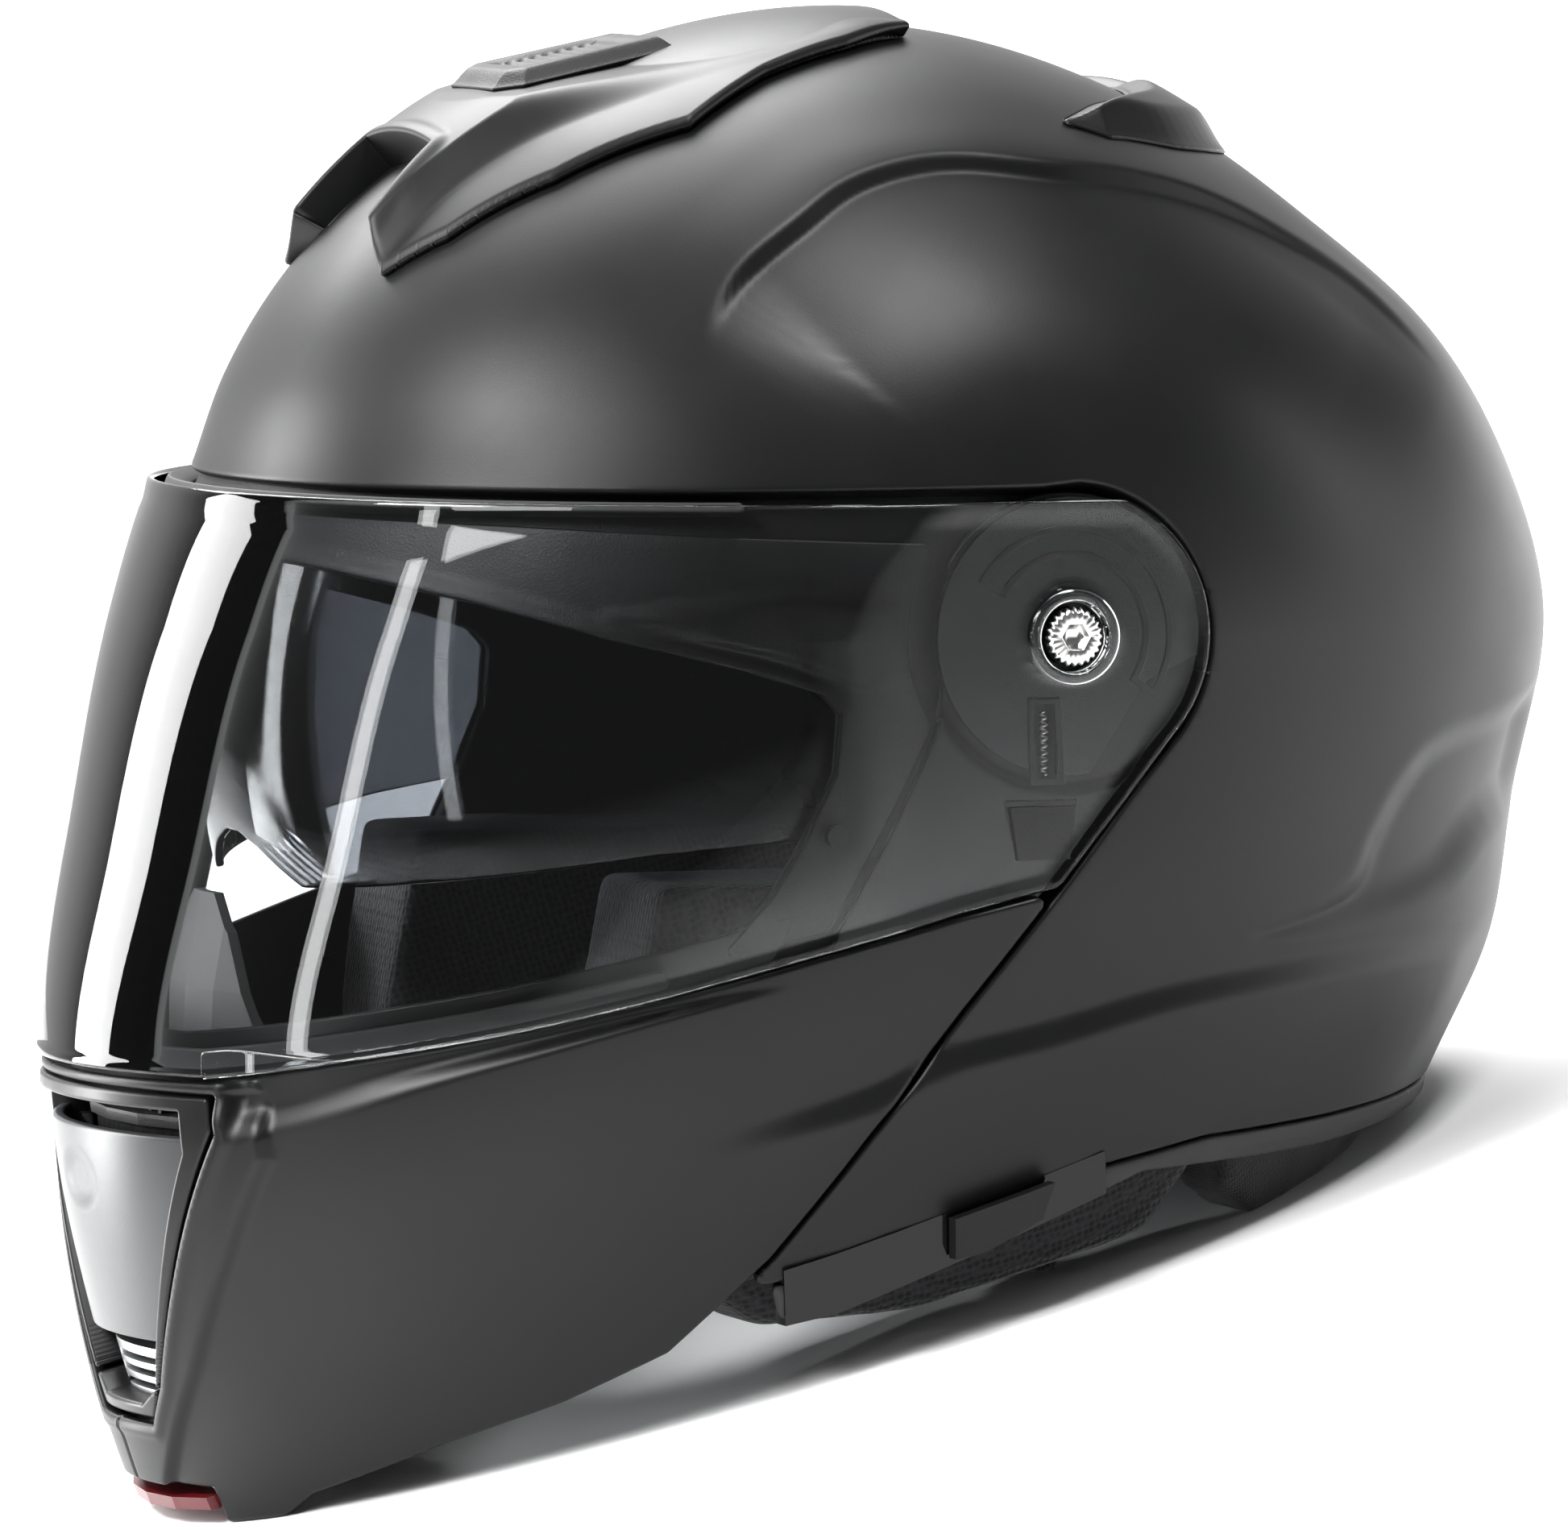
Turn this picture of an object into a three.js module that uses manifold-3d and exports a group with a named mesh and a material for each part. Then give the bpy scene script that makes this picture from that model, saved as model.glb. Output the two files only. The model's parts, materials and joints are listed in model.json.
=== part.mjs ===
// Flip-up motorcycle helmet: shell with fixed liner, lifting chin bar, visor, drop-down sun visor.
// Millimetres. Worn frame: the origin is the chin bar's pivot axis on the mid-plane,
// +X the wearer's left, +Y backwards, +Z up. The finished helmet is tipped onto its base at the end.

import * as THREE from "three";
import { mergeVertices } from "three/addons/utils/BufferGeometryUtils.js";
import Module from "manifold-3d";

const wasm = await Module();
wasm.setup();

// ---------------------------------------------------------------- driving dimensions

const HALF_WIDTH = 129;          // widest half-width of the chin bar and visor
const CROWN = 129.4;             // height of the crown above the pivot axis
const CENTRE_Y = -8;             // where each level is widest
const ROUNDNESS = 2.1;           // exponent of each level's outline
const CROWN_ROUNDNESS = 2.05;    // exponent of the crown seen from the front
const LOWEST = -215;             // level at which the body surfaces stop
const SHELL_SET_BACK = 0.7;      // the shell lies this far inside the chin bar's surface
const GAP = 0.4;                 // clearance between neighbouring pieces
const REACH = 220;               // half-length of every cutting prism

const SHELL_WALL = 3.5;
const RECESS_DEPTH = 8.4;        // floor of the side recess and of the brow behind the visor
const RECESS_WALL = 3;
const POD_RADIUS = 33;           // round end of the recess about the pivot
const POD_FLOOR_X = 118;
const VISOR_PROUD = 1.5;
const VISOR_INSIDE = 0.5;
const LINER_THICKNESS = 34;
const PAD_THICKNESS = 6;

const STAND_TILT = THREE.MathUtils.degToRad(17);
const CHIN_REST = { y: -158, z: -196 };

const PAD_INNER_X = 60;          // inner face of each cheek pad
const STRIKER = { y: -72, z: -115 };
const PINLOCK = { y: -52, z: -42 };
const ARM_STEP_RADIUS = 34.5;    // where each arm steps outwards from its pivot disc
const DISC_RADIUS = 31.7;        // round end of the visor
const LEVER_HALF_WIDTH = 26;
const LEVER_TIP_Y = -169;
const LEVER_HINGE = { y: -148, z: -188.5 };
const DEFROSTER_PITCH = 7;

const SEGMENTS = 44;             // facets round a level of a body surface
const CROWN_LEVELS = 9;          // levels from the crown to the pivot axis
const LOWER_LEVELS = 8;          // levels from the pivot axis down

// Mid-plane outline and half-width as [level, value] pairs.
const FACE_FRONT = [
  [-215, -158], [-190, -168], [-150, -180], [-110, -187], [-90, -187], [-45, -179.5],
  [0, -169.5], [30, -159], [52, -146.5], [75, -131], [100, -104], [120, -60], [CROWN, CENTRE_Y],
];
const SHELL_FRONT = [
  [-215, -158], [-110, -187], [-45, -179.5], [0, -166], [30, -152.5], [52, -144.5],
  [75, -130.5], [100, -104], [120, -60], [CROWN, CENTRE_Y],
];
const REAR = [
  [-215, 50], [-130, 112], [-100, 127], [-75, 139.5], [-45, 145], [0, 153], [30, 144.5],
  [60, 127], [88, 95], [110, 63], [120, 41], [CROWN, CENTRE_Y],
];
const LOWER_HALF_WIDTH = [[-215, 76], [-160, 102], [-130, 113], [-100, 121], [-60, 127], [0, HALF_WIDTH]];

// ---------------------------------------------------------------- materials

function material(color, roughness, metalness = 0, opacity = 1) {
  const transparent = opacity < 1;
  return new THREE.MeshStandardMaterial({ color, roughness, metalness, opacity, transparent });
}

const MATTE_BLACK = material(0x1c1d1f, 0.5);
const BLACK_PLASTIC = material(0x17181a, 0.6);
const GLOSS_BLACK = material(0x0d0d0e, 0.2);
const RUBBER = material(0x101011, 0.85);
const FABRIC = material(0x1a1a1b, 0.95);
const WEBBING = material(0x141414, 0.9);
const FOAM = material(0x2a2a2c, 0.9);
const STEEL = material(0xa8a9aa, 0.3, 1);
const SILVER = material(0xb4b6b8, 0.35, 0.9);
const RED = material(0x8c1616, 0.45);
const CLEAR = material(0xe6eaec, 0.05, 0, 0.3);
const SMOKED = material(0x3a3d40, 0.1, 0, 0.6);

// ---------------------------------------------------------------- body surface

function latitude(level) {
  return level > 0 ? Math.asin(Math.min(level / CROWN, 1)) : level / CROWN;
}

// Smooth value at a level: a cubic through the pairs, measured along the latitude.
function follow(pairs, level) {
  const at = latitude(THREE.MathUtils.clamp(level, pairs[0][0], pairs[pairs.length - 1][0]));
  const xs = pairs.map(([z]) => latitude(z));
  const ys = pairs.map(([, value]) => value);
  let i = 0;
  while (i < xs.length - 2 && at > xs[i + 1]) i += 1;
  const slope = (k) => (ys[k + 1] - ys[k]) / (xs[k + 1] - xs[k]);
  const tangent = (k) => {
    if (k === 0) return slope(0);
    if (k === xs.length - 1) return slope(k - 1);
    const before = xs[k] - xs[k - 1];
    const after = xs[k + 1] - xs[k];
    return (slope(k - 1) * after + slope(k) * before) / (before + after);
  };
  const span = xs[i + 1] - xs[i];
  const t = (at - xs[i]) / span;
  const blend = t * t * (3 - 2 * t);
  const rise = t * (1 - t) * (1 - t) * span;
  const fall = t * t * (1 - t) * span;
  return ys[i] * (1 - blend) + ys[i + 1] * blend + rise * tangent(i) - fall * tangent(i + 1);
}

function halfWidth(level) {
  if (level <= 0) return follow(LOWER_HALF_WIDTH, level);
  return HALF_WIDTH * Math.sqrt(Math.max(1 - (level / CROWN) ** CROWN_ROUNDNESS, 0));
}

// Half-width of the chin bar's surface at a place seen from the side.
function surfaceX(y, z) {
  const front = follow(FACE_FRONT, z);
  const rear = follow(REAR, z);
  const t = y < CENTRE_Y ? (CENTRE_Y - y) / (CENTRE_Y - front) : (y - CENTRE_Y) / (rear - CENTRE_Y);
  return halfWidth(z) * Math.max(1 - t ** ROUNDNESS, 0) ** (1 / ROUNDNESS);
}

// ---------------------------------------------------------------- solids

function solidOf(geometry) {
  const bare = new THREE.BufferGeometry();
  bare.setAttribute("position", geometry.attributes.position);
  if (geometry.index) bare.setIndex(geometry.index);
  const merged = mergeVertices(bare, 1e-4);
  const mesh = new wasm.Mesh({
    numProp: 3,
    vertProperties: Float32Array.from(merged.attributes.position.array),
    triVerts: Uint32Array.from(merged.index.array),
  });
  return new wasm.Manifold(mesh);
}

function geometryOf(solid) {
  const mesh = solid.getMesh();
  const geometry = new THREE.BufferGeometry();
  geometry.setAttribute("position", new THREE.BufferAttribute(mesh.vertProperties, 3));
  geometry.setIndex(new THREE.BufferAttribute(mesh.triVerts, 1));
  const faceted = geometry.toNonIndexed();
  faceted.computeVertexNormals();
  return faceted;
}

function joined(first, ...others) {
  return others.reduce((sum, next) => sum.add(next), first);
}

function without(first, ...others) {
  return others.reduce((rest, next) => rest.subtract(next), first);
}

// The whole body set inwards by a distance, as a solid: a sphere's grid moved onto it.
const bodies = new Map();
function body(frontOutline, inset) {
  const key = `${frontOutline === FACE_FRONT} ${inset}`;
  if (bodies.has(key)) return bodies.get(key);
  const levels = [];
  for (let i = 0; i <= CROWN_LEVELS; i += 1) levels.push(CROWN * Math.cos((Math.PI / 2) * (i / CROWN_LEVELS)));
  for (let i = 1; i <= LOWER_LEVELS; i += 1) levels.push(LOWEST * (i / LOWER_LEVELS));
  const rings = levels.length;
  const geometry = new THREE.SphereGeometry(1, SEGMENTS, rings);
  const position = geometry.attributes.position;
  const uv = geometry.attributes.uv;
  for (let i = 0; i < position.count; i += 1) {
    const ring = Math.round((1 - uv.getY(i)) * rings);
    const column = Math.round(uv.getX(i) * SEGMENTS - (ring === 0 || ring === rings ? 0.5 : 0));
    const angle = Math.PI + (2 * Math.PI * column) / SEGMENTS;
    const level = levels[Math.min(ring, rings - 1)];
    const closing = ring === 0 || ring === rings ? 0 : 1;
    const side = closing * Math.max(halfWidth(level) - inset, 0);
    const ahead = closing * Math.max(CENTRE_Y - follow(frontOutline, level) - inset, 0);
    const behind = closing * Math.max(follow(REAR, level) - CENTRE_Y - inset, 0);
    const cos = Math.cos(angle);
    const sin = Math.sin(angle);
    const x = side * Math.sign(cos) * Math.abs(cos) ** (2 / ROUNDNESS);
    const y = (sin < 0 ? ahead : behind) * Math.sign(sin) * Math.abs(sin) ** (2 / ROUNDNESS);
    const z = level > 0 ? (level * (CROWN - inset)) / CROWN : level;
    position.setXYZ(i, x, CENTRE_Y + y, z);
  }
  const solid = solidOf(geometry);
  bodies.set(key, solid);
  return solid;
}

const face = (inset) => body(FACE_FRONT, inset);
const crown = (inset) => body(SHELL_FRONT, inset + SHELL_SET_BACK);

function outlineShape(points) {
  return new THREE.Shape(points.map(([a, b]) => new THREE.Vector2(a, b)));
}

function arc(centreY, centreZ, radius, fromDegrees, toDegrees, steps = 8) {
  const points = [];
  for (let i = 0; i <= steps; i += 1) {
    const angle = THREE.MathUtils.degToRad(fromDegrees + ((toDegrees - fromDegrees) * i) / steps);
    points.push([centreY + radius * Math.cos(angle), centreZ + radius * Math.sin(angle)]);
  }
  return points;
}

function extruded(points, depth) {
  return new THREE.ExtrudeGeometry(outlineShape(points), { depth, bevelEnabled: false, steps: 1 });
}

// A plate with an outline drawn in side view [y, z], between two widths.
function sidePlate(points, xFrom = -REACH, xTo = REACH) {
  const geometry = extruded(points, xTo - xFrom);
  const axes = new THREE.Matrix4().makeBasis(
    new THREE.Vector3(0, 1, 0), new THREE.Vector3(0, 0, 1), new THREE.Vector3(1, 0, 0));
  geometry.applyMatrix4(axes);
  geometry.translate(xFrom, 0, 0);
  return solidOf(geometry);
}

// A plate with an outline drawn from the front [x, z], between two depths.
function frontPlate(points, yFrom = -REACH, yTo = -60) {
  const geometry = extruded(points, yTo - yFrom);
  geometry.rotateX(Math.PI / 2);
  geometry.translate(0, yTo, 0);
  return solidOf(geometry);
}

// A plate with an outline drawn from above [x, y], between two heights.
function topPlate(points, zFrom, zTo) {
  const geometry = extruded(points, zTo - zFrom);
  geometry.translate(0, 0, zFrom);
  return solidOf(geometry);
}

function mirrored(points) {
  return [...points, ...points.slice().reverse().map(([x, other]) => [-x, other])];
}

function box(x0, x1, y0, y1, z0, z1) {
  const geometry = new THREE.BoxGeometry(x1 - x0, y1 - y0, z1 - z0);
  geometry.translate((x0 + x1) / 2, (y0 + y1) / 2, (z0 + z1) / 2);
  return solidOf(geometry);
}

// A round rod along X about a point in side view.
function rod(radius, x0, x1, y = 0, z = 0, sides = 32) {
  const geometry = new THREE.CylinderGeometry(radius, radius, x1 - x0, sides);
  geometry.rotateZ(Math.PI / 2);
  geometry.translate((x0 + x1) / 2, y, z);
  return solidOf(geometry);
}

function skin(outer, inner) {
  return outer.subtract(inner);
}

function moved(points, dy, dz) {
  return points.map(([y, z]) => [y + dy, z + dz]);
}

// ---------------------------------------------------------------- assembly

const helmet = new THREE.Group();

function addPiece(name, solid, look) {
  const mesh = new THREE.Mesh(geometryOf(solid), look);
  mesh.name = name;
  helmet.add(mesh);
  return mesh;
}

// The left piece and its mirror image on the right.
function addPair(name, solid, look) {
  addPiece(`${name}_left`, solid, look);
  addPiece(`${name}_right`, solid, look).scale.x = -1;
}

// ---------------------------------------------------------------- shared outlines, side view

const SEAM = [[13, -35], [-2, -54], [-23, -80], [-43, -107], [-61, -134], [-80, -156]];
const VISOR_EDGE = [
  [-200, -97.5], [-172, -96], [-149, -91], [-118, -84], [-87, -76], [-59, -68], [-24, -58.5], [-3, -54],
];
const SHELL_EDGE = [[-61, -140], [-24, -130], [12, -115], [37, -110], [70, -108], [120, -104], [170, -104]];
const TRIM_EDGE = [[-58, -149], [-24, -137], [-1, -127], [22, -117.5], [70, -115], [122, -109], [170, -109]];
const EYEPORT = [
  [-REACH, 18], [-163, 18], [-144, 13], [-120, 7], [-97, 0], [-69, -7], [-54, -12], [-50, -16],
  [-51, -29], [-57, -42], [-64, -55], [-74, -67], [-86, -100], [-86, -150], [-REACH, -REACH],
];
const BROW_LINE = 30;

// The recess that the visor, arms and chin bar lie in, grown outwards by a margin.
function recess(grow) {
  return sidePlate([
    [-REACH, BROW_LINE + grow], [-6, BROW_LINE + 2 + grow],
    ...arc(0, 0, POD_RADIUS + grow, 85, -38),
    ...moved(SEAM, grow, 0),
    [-80 + grow, -REACH], [-REACH, -REACH],
  ]);
}

function standLevel(y) {
  return CHIN_REST.z + (y - CHIN_REST.y) * Math.tan(STAND_TILT);
}

// ---------------------------------------------------------------- shell

const POD_POCKET_RADIUS = 37;
const podPocket = (side) => {
  const reach = side > 0 ? [POD_FLOOR_X, REACH] : [-REACH, -POD_FLOOR_X];
  return rod(POD_POCKET_RADIUS, reach[0], reach[1], 0, 0, 40);
};

function outerShell() {
  const recessFloor = without(face(RECESS_DEPTH), podPocket(1), podPocket(-1));
  const outside = crown(0).subtract(recess(0).subtract(recessFloor));
  const podWallLeft = rod(POD_POCKET_RADIUS + RECESS_WALL, POD_FLOOR_X - SHELL_WALL, REACH, 0, 0, 40);
  const podWallRight = rod(POD_POCKET_RADIUS + RECESS_WALL, -REACH, SHELL_WALL - POD_FLOOR_X, 0, 0, 40);
  const innerFloor = without(face(RECESS_DEPTH + RECESS_WALL), podWallLeft, podWallRight);
  const inside = crown(SHELL_WALL).subtract(recess(RECESS_WALL).subtract(innerFloor));
  const below = sidePlate([[-REACH, -140], ...SHELL_EDGE, [170, -REACH], [-REACH, -REACH]]);
  const boltHoles = rod(BOLT_RADIUS + GAP, -REACH, REACH);
  const railSpace = sidePlate(RAIL_SPACE, 0, REACH);
  return without(outside, inside, sidePlate(EYEPORT), below, boltHoles, railSpace);
}

function lowerTrim() {
  const band = sidePlate([...moved(SHELL_EDGE, 0, -GAP), ...TRIM_EDGE.slice().reverse()]);
  const ring = skin(crown(-1), crown(5)).intersect(band);
  const railSpace = sidePlate(RAIL_SPACE, 0, REACH);
  return without(ring, railSpace);
}

function eyeportFrame() {
  const border = [
    [-REACH, 27], [-114, 24], [-74, 22], [-24, 20], [-25, 14], [-28, 6], [-28, -15], [-37, -34],
    [-52, -63], [-75, -69], [-REACH, -69],
  ];
  const band = skin(face(6.4), face(8.1)).intersect(sidePlate(border));
  return without(band, sidePlate(EYEPORT), rod(ARM_STEP_RADIUS + 0.8, -REACH, REACH));
}

function browSeal() {
  const strip = [[-REACH, 29.4], [-75, 29.4], [-75, 27.5], [-REACH, 27.5]];
  return skin(face(2), face(RECESS_DEPTH - 0.3)).intersect(sidePlate(strip));
}

// ---------------------------------------------------------------- liner and pads

const SUN_HINGE = { y: 0, z: -20 };
const SUN_RADIUS = 151;
const SUN_HALF_WIDTH = 114;
const SUN_ROUNDNESS = 2.2;
const SUN_SIDE_X = 110.3;
const SUN_THICKNESS = 2;
const SUN_LIFT = 30;

// Half-width of the sun visor at a distance from its hinge axis.
function sunHalfWidth(radius) {
  const bulge = (1 - (radius / SUN_RADIUS) ** SUN_ROUNDNESS) ** (1 / SUN_ROUNDNESS);
  return Math.min(SUN_HALF_WIDTH * bulge, SUN_SIDE_X);
}

// A barrel-shaped solid of revolution about the sun visor's hinge axis.
function sunBody(inset) {
  const steps = 11;
  const profile = [new THREE.Vector2(0, inset - SUN_SIDE_X)];
  for (let i = -steps; i <= steps; i += 1) {
    const side = Math.sign(i);
    const radius = SUN_RADIUS * Math.cos(((Math.PI / 2) * i) / steps * 0.8);
    profile.push(new THREE.Vector2(Math.max(radius - inset, 0), side * Math.max(sunHalfWidth(radius) - inset, 0)));
  }
  profile.push(new THREE.Vector2(0, SUN_SIDE_X - inset));
  const geometry = new THREE.LatheGeometry(profile, 44);
  const axes = new THREE.Matrix4().makeBasis(
    new THREE.Vector3(0, 0, 1), new THREE.Vector3(1, 0, 0), new THREE.Vector3(0, 1, 0));
  geometry.applyMatrix4(axes);
  geometry.translate(0, SUN_HINGE.y, SUN_HINGE.z);
  return solidOf(geometry);
}

function sunSector(fromDegrees, toDegrees, reach) {
  return [
    ...arc(SUN_HINGE.y, SUN_HINGE.z, 12, toDegrees - 90, fromDegrees + 90, 10),
    ...arc(SUN_HINGE.y, SUN_HINGE.z, reach, fromDegrees, toDegrees, 8),
  ];
}

function epsLiner() {
  const recessSide = recess(RECESS_WALL + GAP).subtract(face(RECESS_DEPTH + RECESS_WALL + GAP));
  const outside = crown(SHELL_WALL + GAP).subtract(recessSide);
  const podBack = POD_FLOOR_X - SHELL_WALL - GAP;
  const pods = [rod(44, podBack, REACH, 0, 0, 24), rod(44, -REACH, -podBack, 0, 0, 24)];
  const keep = sidePlate([
    [-170, 20], [-100, 12], [-58, 0], [-58, -48], [48, -48], [56, -100], [170, -100], [170, 140], [-170, 140],
  ]);
  const sunPocket = sidePlate([
    ...arc(SUN_HINGE.y, SUN_HINGE.z, 16, -90, 30, 8), [-95, 130], [-REACH, 130], [-REACH, -80],
  ]).subtract(sunBody(SUN_THICKNESS + 1.6));
  const cavity = crown(SHELL_WALL + LINER_THICKNESS);
  return without(outside.intersect(keep), cavity, sunPocket, ...pods);
}

function crownPad() {
  const outer = crown(SHELL_WALL + LINER_THICKNESS + GAP);
  const inner = crown(SHELL_WALL + LINER_THICKNESS + GAP + PAD_THICKNESS);
  const keep = sidePlate([[-170, 26], [60, 12], [100, -60], [170, -60], [170, 140], [-170, 140]]);
  return skin(outer, inner).intersect(keep);
}

function cheekPad() {
  const outline = [
    [-84, -54], [-92, -96], [-84, -132], [-58, -150], [-23, -147], [29, -132], [44, -112], [44, -54],
  ];
  const pad = sidePlate(outline, PAD_INNER_X, REACH).intersect(face(RECESS_DEPTH + RECESS_WALL + 1.2));
  const strapSlot = box(STRAP_X - 2, STRAP_X + 6, -15, 15, -REACH, -57);
  const strapChannel = box(PAD_INNER_X - 1, STRAP_X + 6, -15, 15, -REACH, STRAP_HEM_Z + 3);
  return without(pad, strapSlot, strapChannel);
}

function neckRoll() {
  const outline = [
    [47, -101], [47, -124], [58, standLevel(58)], [116, standLevel(116)], [124, -101],
  ];
  return skin(crown(8), crown(30)).intersect(sidePlate(outline));
}

// ---------------------------------------------------------------- vents on the shell

const SLIDE_SLOPE = 0.21;         // the top vent's slider rises this much per millimetre backwards

function slideLine(y) {
  return 114.8 + SLIDE_SLOPE * (y + 92);
}

function topVentCover() {
  const profile = [
    [-127, 84], [-121, 95], [-113, 103.5], [-95, slideLine(-95)], [-27, slideLine(-27)],
    [-24, 128.5], [-12, 131], [2, 130], [2, 60], [-127, 60],
  ];
  const plan = mirrored([[34, -126], [44, -114], [53, -92], [58, -62], [46, -40], [38, -18], [28, 0]]);
  const mouth = frontPlate(mirrored([[24, 90], [26, 99]]), -REACH, -104);
  const hood = sidePlate(profile).intersect(topPlate(plan, 40, 140)).intersect(crown(-9));
  return without(hood, crown(-GAP), mouth);
}

function topVentSlider() {
  const lift = 0.5;
  return sidePlate([
    [-93, slideLine(-93) + lift], [-89, slideLine(-89) + 4], [-55, slideLine(-55) + 4],
    [-51, slideLine(-51) + lift],
  ], -21, 21);
}

function rearVentSpoiler() {
  const ahead = [[0, 56], [34, 48], [56, 30], [66, 20]];
  const behind = [[67, 32], [56, 54], [34, 72], [0, 82]];
  const leftEdge = behind.slice(0, 3).reverse().map(([x, y]) => [-x, y]);
  const crescent = [...ahead, ...behind, ...leftEdge, ...ahead.slice(1).reverse().map(([x, y]) => [-x, y])];
  return skin(crown(-6.5), crown(-GAP)).intersect(topPlate(crescent, 60, 140));
}

// ---------------------------------------------------------------- pivots

const BOLT_RADIUS = 5.5;
const ARM_X = [POD_FLOOR_X + 0.6, POD_FLOOR_X + 4];
const BASE_X = [ARM_X[1] + 0.3, ARM_X[1] + 2.3];
const DISC_X = [BASE_X[1] + 0.5, BASE_X[1] + 2.5];
const HUB_RADIUS = 7.5;

function pivotBolt() {
  const shank = rod(BOLT_RADIUS, POD_FLOOR_X - SHELL_WALL - 0.2, DISC_X[1], 0, 0, 28);
  const head = rod(BOLT_RADIUS + 1, DISC_X[1] - 1.4, DISC_X[1] + 0.8, 0, 0, 28);
  const socket = rod(2.6, DISC_X[1] - 2, DISC_X[1] + 2, 0, 0, 6);
  return shank.add(head).subtract(socket);
}

// ---------------------------------------------------------------- chin bar

const CHIN_WALL = 3.5;
const ARM_INSET = [3.9, 6];
const CHIN_EDGE = [[-81, -155], [-101, -166], [-124, -176], [-146, -188]];

function chinOutline(top, rear) {
  return [
    ...moved(VISOR_EDGE.slice(0, -1), 0, top), [-4, -55], ...moved(SEAM.slice(2, 5), rear, 0), ...CHIN_EDGE,
    [-150, standLevel(-150)], [-REACH, standLevel(-REACH)],
  ];
}

const VENT_OUTER = mirrored([[54, -100.5], [54, -108], [24, -165], [17, -174]]);
const VENT_WINDOW = mirrored([[46, -104], [46, -113], [20.5, -167], [13, -171]]);
const VENT_COVER = mirrored([[44.4, -110], [44.4, -113.5], [23.6, -156.5]]);
const VENT_GRILLE = mirrored([[21, -159], [19.4, -166.5], [12.4, -170.2]]);
const TRIM_WEDGE = [[56, -108.5], [61, -113], [59.5, -118], [28, -166], [26.4, -166]];
const TRIM_SEAT = [[55.4, -107.5], [61.6, -112.6], [60.2, -118.4], [28.5, -166.6], [25.2, -166.6]];

function widened(points, by) {
  return points.map(([x, z]) => [x + Math.sign(x) * by, z]);
}

function chinBarShell() {
  const panel = skin(face(0), face(CHIN_WALL)).intersect(sidePlate(chinOutline(-0.9, -1)));
  const rimBand = [
    ...moved(VISOR_EDGE.slice(0, 6), 0, 9), [-66, -75], ...moved(VISOR_EDGE.slice(0, 5), 0, -7).reverse(),
  ];
  const rim = skin(face(3), face(5.6)).intersect(sidePlate(rimBand));
  const foot = face(0.5).subtract(face(20)).intersect(sidePlate([
    [-168, standLevel(-168)], [-148, standLevel(-148)], [-148, standLevel(-148) + 4],
    [-168, standLevel(-168) + 4],
  ]));
  const leverNotch = box(-LEVER_HALF_WIDTH - 1, LEVER_HALF_WIDTH + 1, -REACH, -100, -REACH, -188.6);
  const ventHole = frontPlate(widened(VENT_OUTER, GAP)).subtract(box(-80, 80, -REACH, 0, -80, -60));
  const pocket = skin(face(-3), face(2.4));
  const wedgeSeat = (side) => {
    const seat = TRIM_SEAT.map(([x, z]) => [side * x, z]);
    return pocket.intersect(frontPlate(side > 0 ? seat : seat.reverse()));
  };
  const whole = joined(panel, rim, foot);
  return without(whole, leverNotch, ventHole, wedgeSeat(1), wedgeSeat(-1));
}

function armPlate() {
  const seamSide = moved([[13, -35], [-2, -54], [-23, -80], [-36, -98]], -2.5, 0);
  const frontSide = [[-57, -100], [-55, -76], [-51, -63], [-38, -38], [-28.5, -17]];
  const outline = [...arc(0, 0, 31, 150, -42, 12), ...seamSide, ...frontSide];
  const lowered = skin(face(ARM_INSET[0]), face(ARM_INSET[1]));
  const core = rod(ARM_STEP_RADIUS - 2.3, 0, REACH, 0, 0, 36);
  const swept = lowered.intersect(sidePlate(outline, 0, REACH)).subtract(core);
  const disc = rod(ARM_STEP_RADIUS, ARM_X[0], ARM_X[1], 0, 0, 36).intersect(sidePlate(outline, 0, REACH));
  const wall = rod(ARM_STEP_RADIUS, ARM_X[0], REACH, 0, 0, 36).subtract(core);
  const step = wall.intersect(sidePlate(outline, 0, REACH)).intersect(face(ARM_INSET[0]));
  return joined(disc, step, swept).subtract(rod(BOLT_RADIUS + GAP, 0, REACH));
}

function visorBase() {
  const plate = rod(30, BASE_X[0], BASE_X[1], 0, 0, 40);
  const springSlot = box(0, REACH, -8.5, -2.5, -32, -14);
  const notch = sidePlate([[4, -31], [31, -31], [31, -4], [18, -10]], 0, REACH);
  return without(plate, rod(HUB_RADIUS, 0, REACH), springSlot, notch);
}

function latchSpring() {
  const geometry = new THREE.CylinderGeometry(0.9, 0.9, 14, 8);
  geometry.rotateX(Math.PI / 2);
  geometry.translate((BASE_X[0] + BASE_X[1]) / 2, -5.5, -23);
  return solidOf(geometry);
}

function visorLatch() {
  const outline = [[-14, -36.5], [1, -36.5], [0, -48], [-12, -48]];
  return skin(face(1.9), face(3.6)).intersect(sidePlate(outline, 0, REACH));
}

function strikerPin() {
  const outer = surfaceX(STRIKER.y, STRIKER.z) - CHIN_WALL - 2.3;
  return rod(3, outer - 2, outer, STRIKER.y, STRIKER.z, 16);
}

function lockPawl() {
  const outline = [[-90, -99], [-76, -92], [-66, -97], [-62, -104], [-64, -107.5], [-70, -104], [-82, -112]];
  return skin(face(4.4), face(7)).intersect(sidePlate(outline, 0, REACH));
}

function chinBarEps() {
  const outline = [[-REACH, -112.6], [-106, -106.6], [-106, -156], [-150, -173], [-REACH, -173]];
  const foam = skin(face(4.2), face(23.4)).intersect(sidePlate(outline));
  const duct = frontPlate(widened(VENT_OUTER, 2), -REACH, -150).subtract(face(11));
  return foam.subtract(duct);
}

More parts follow.
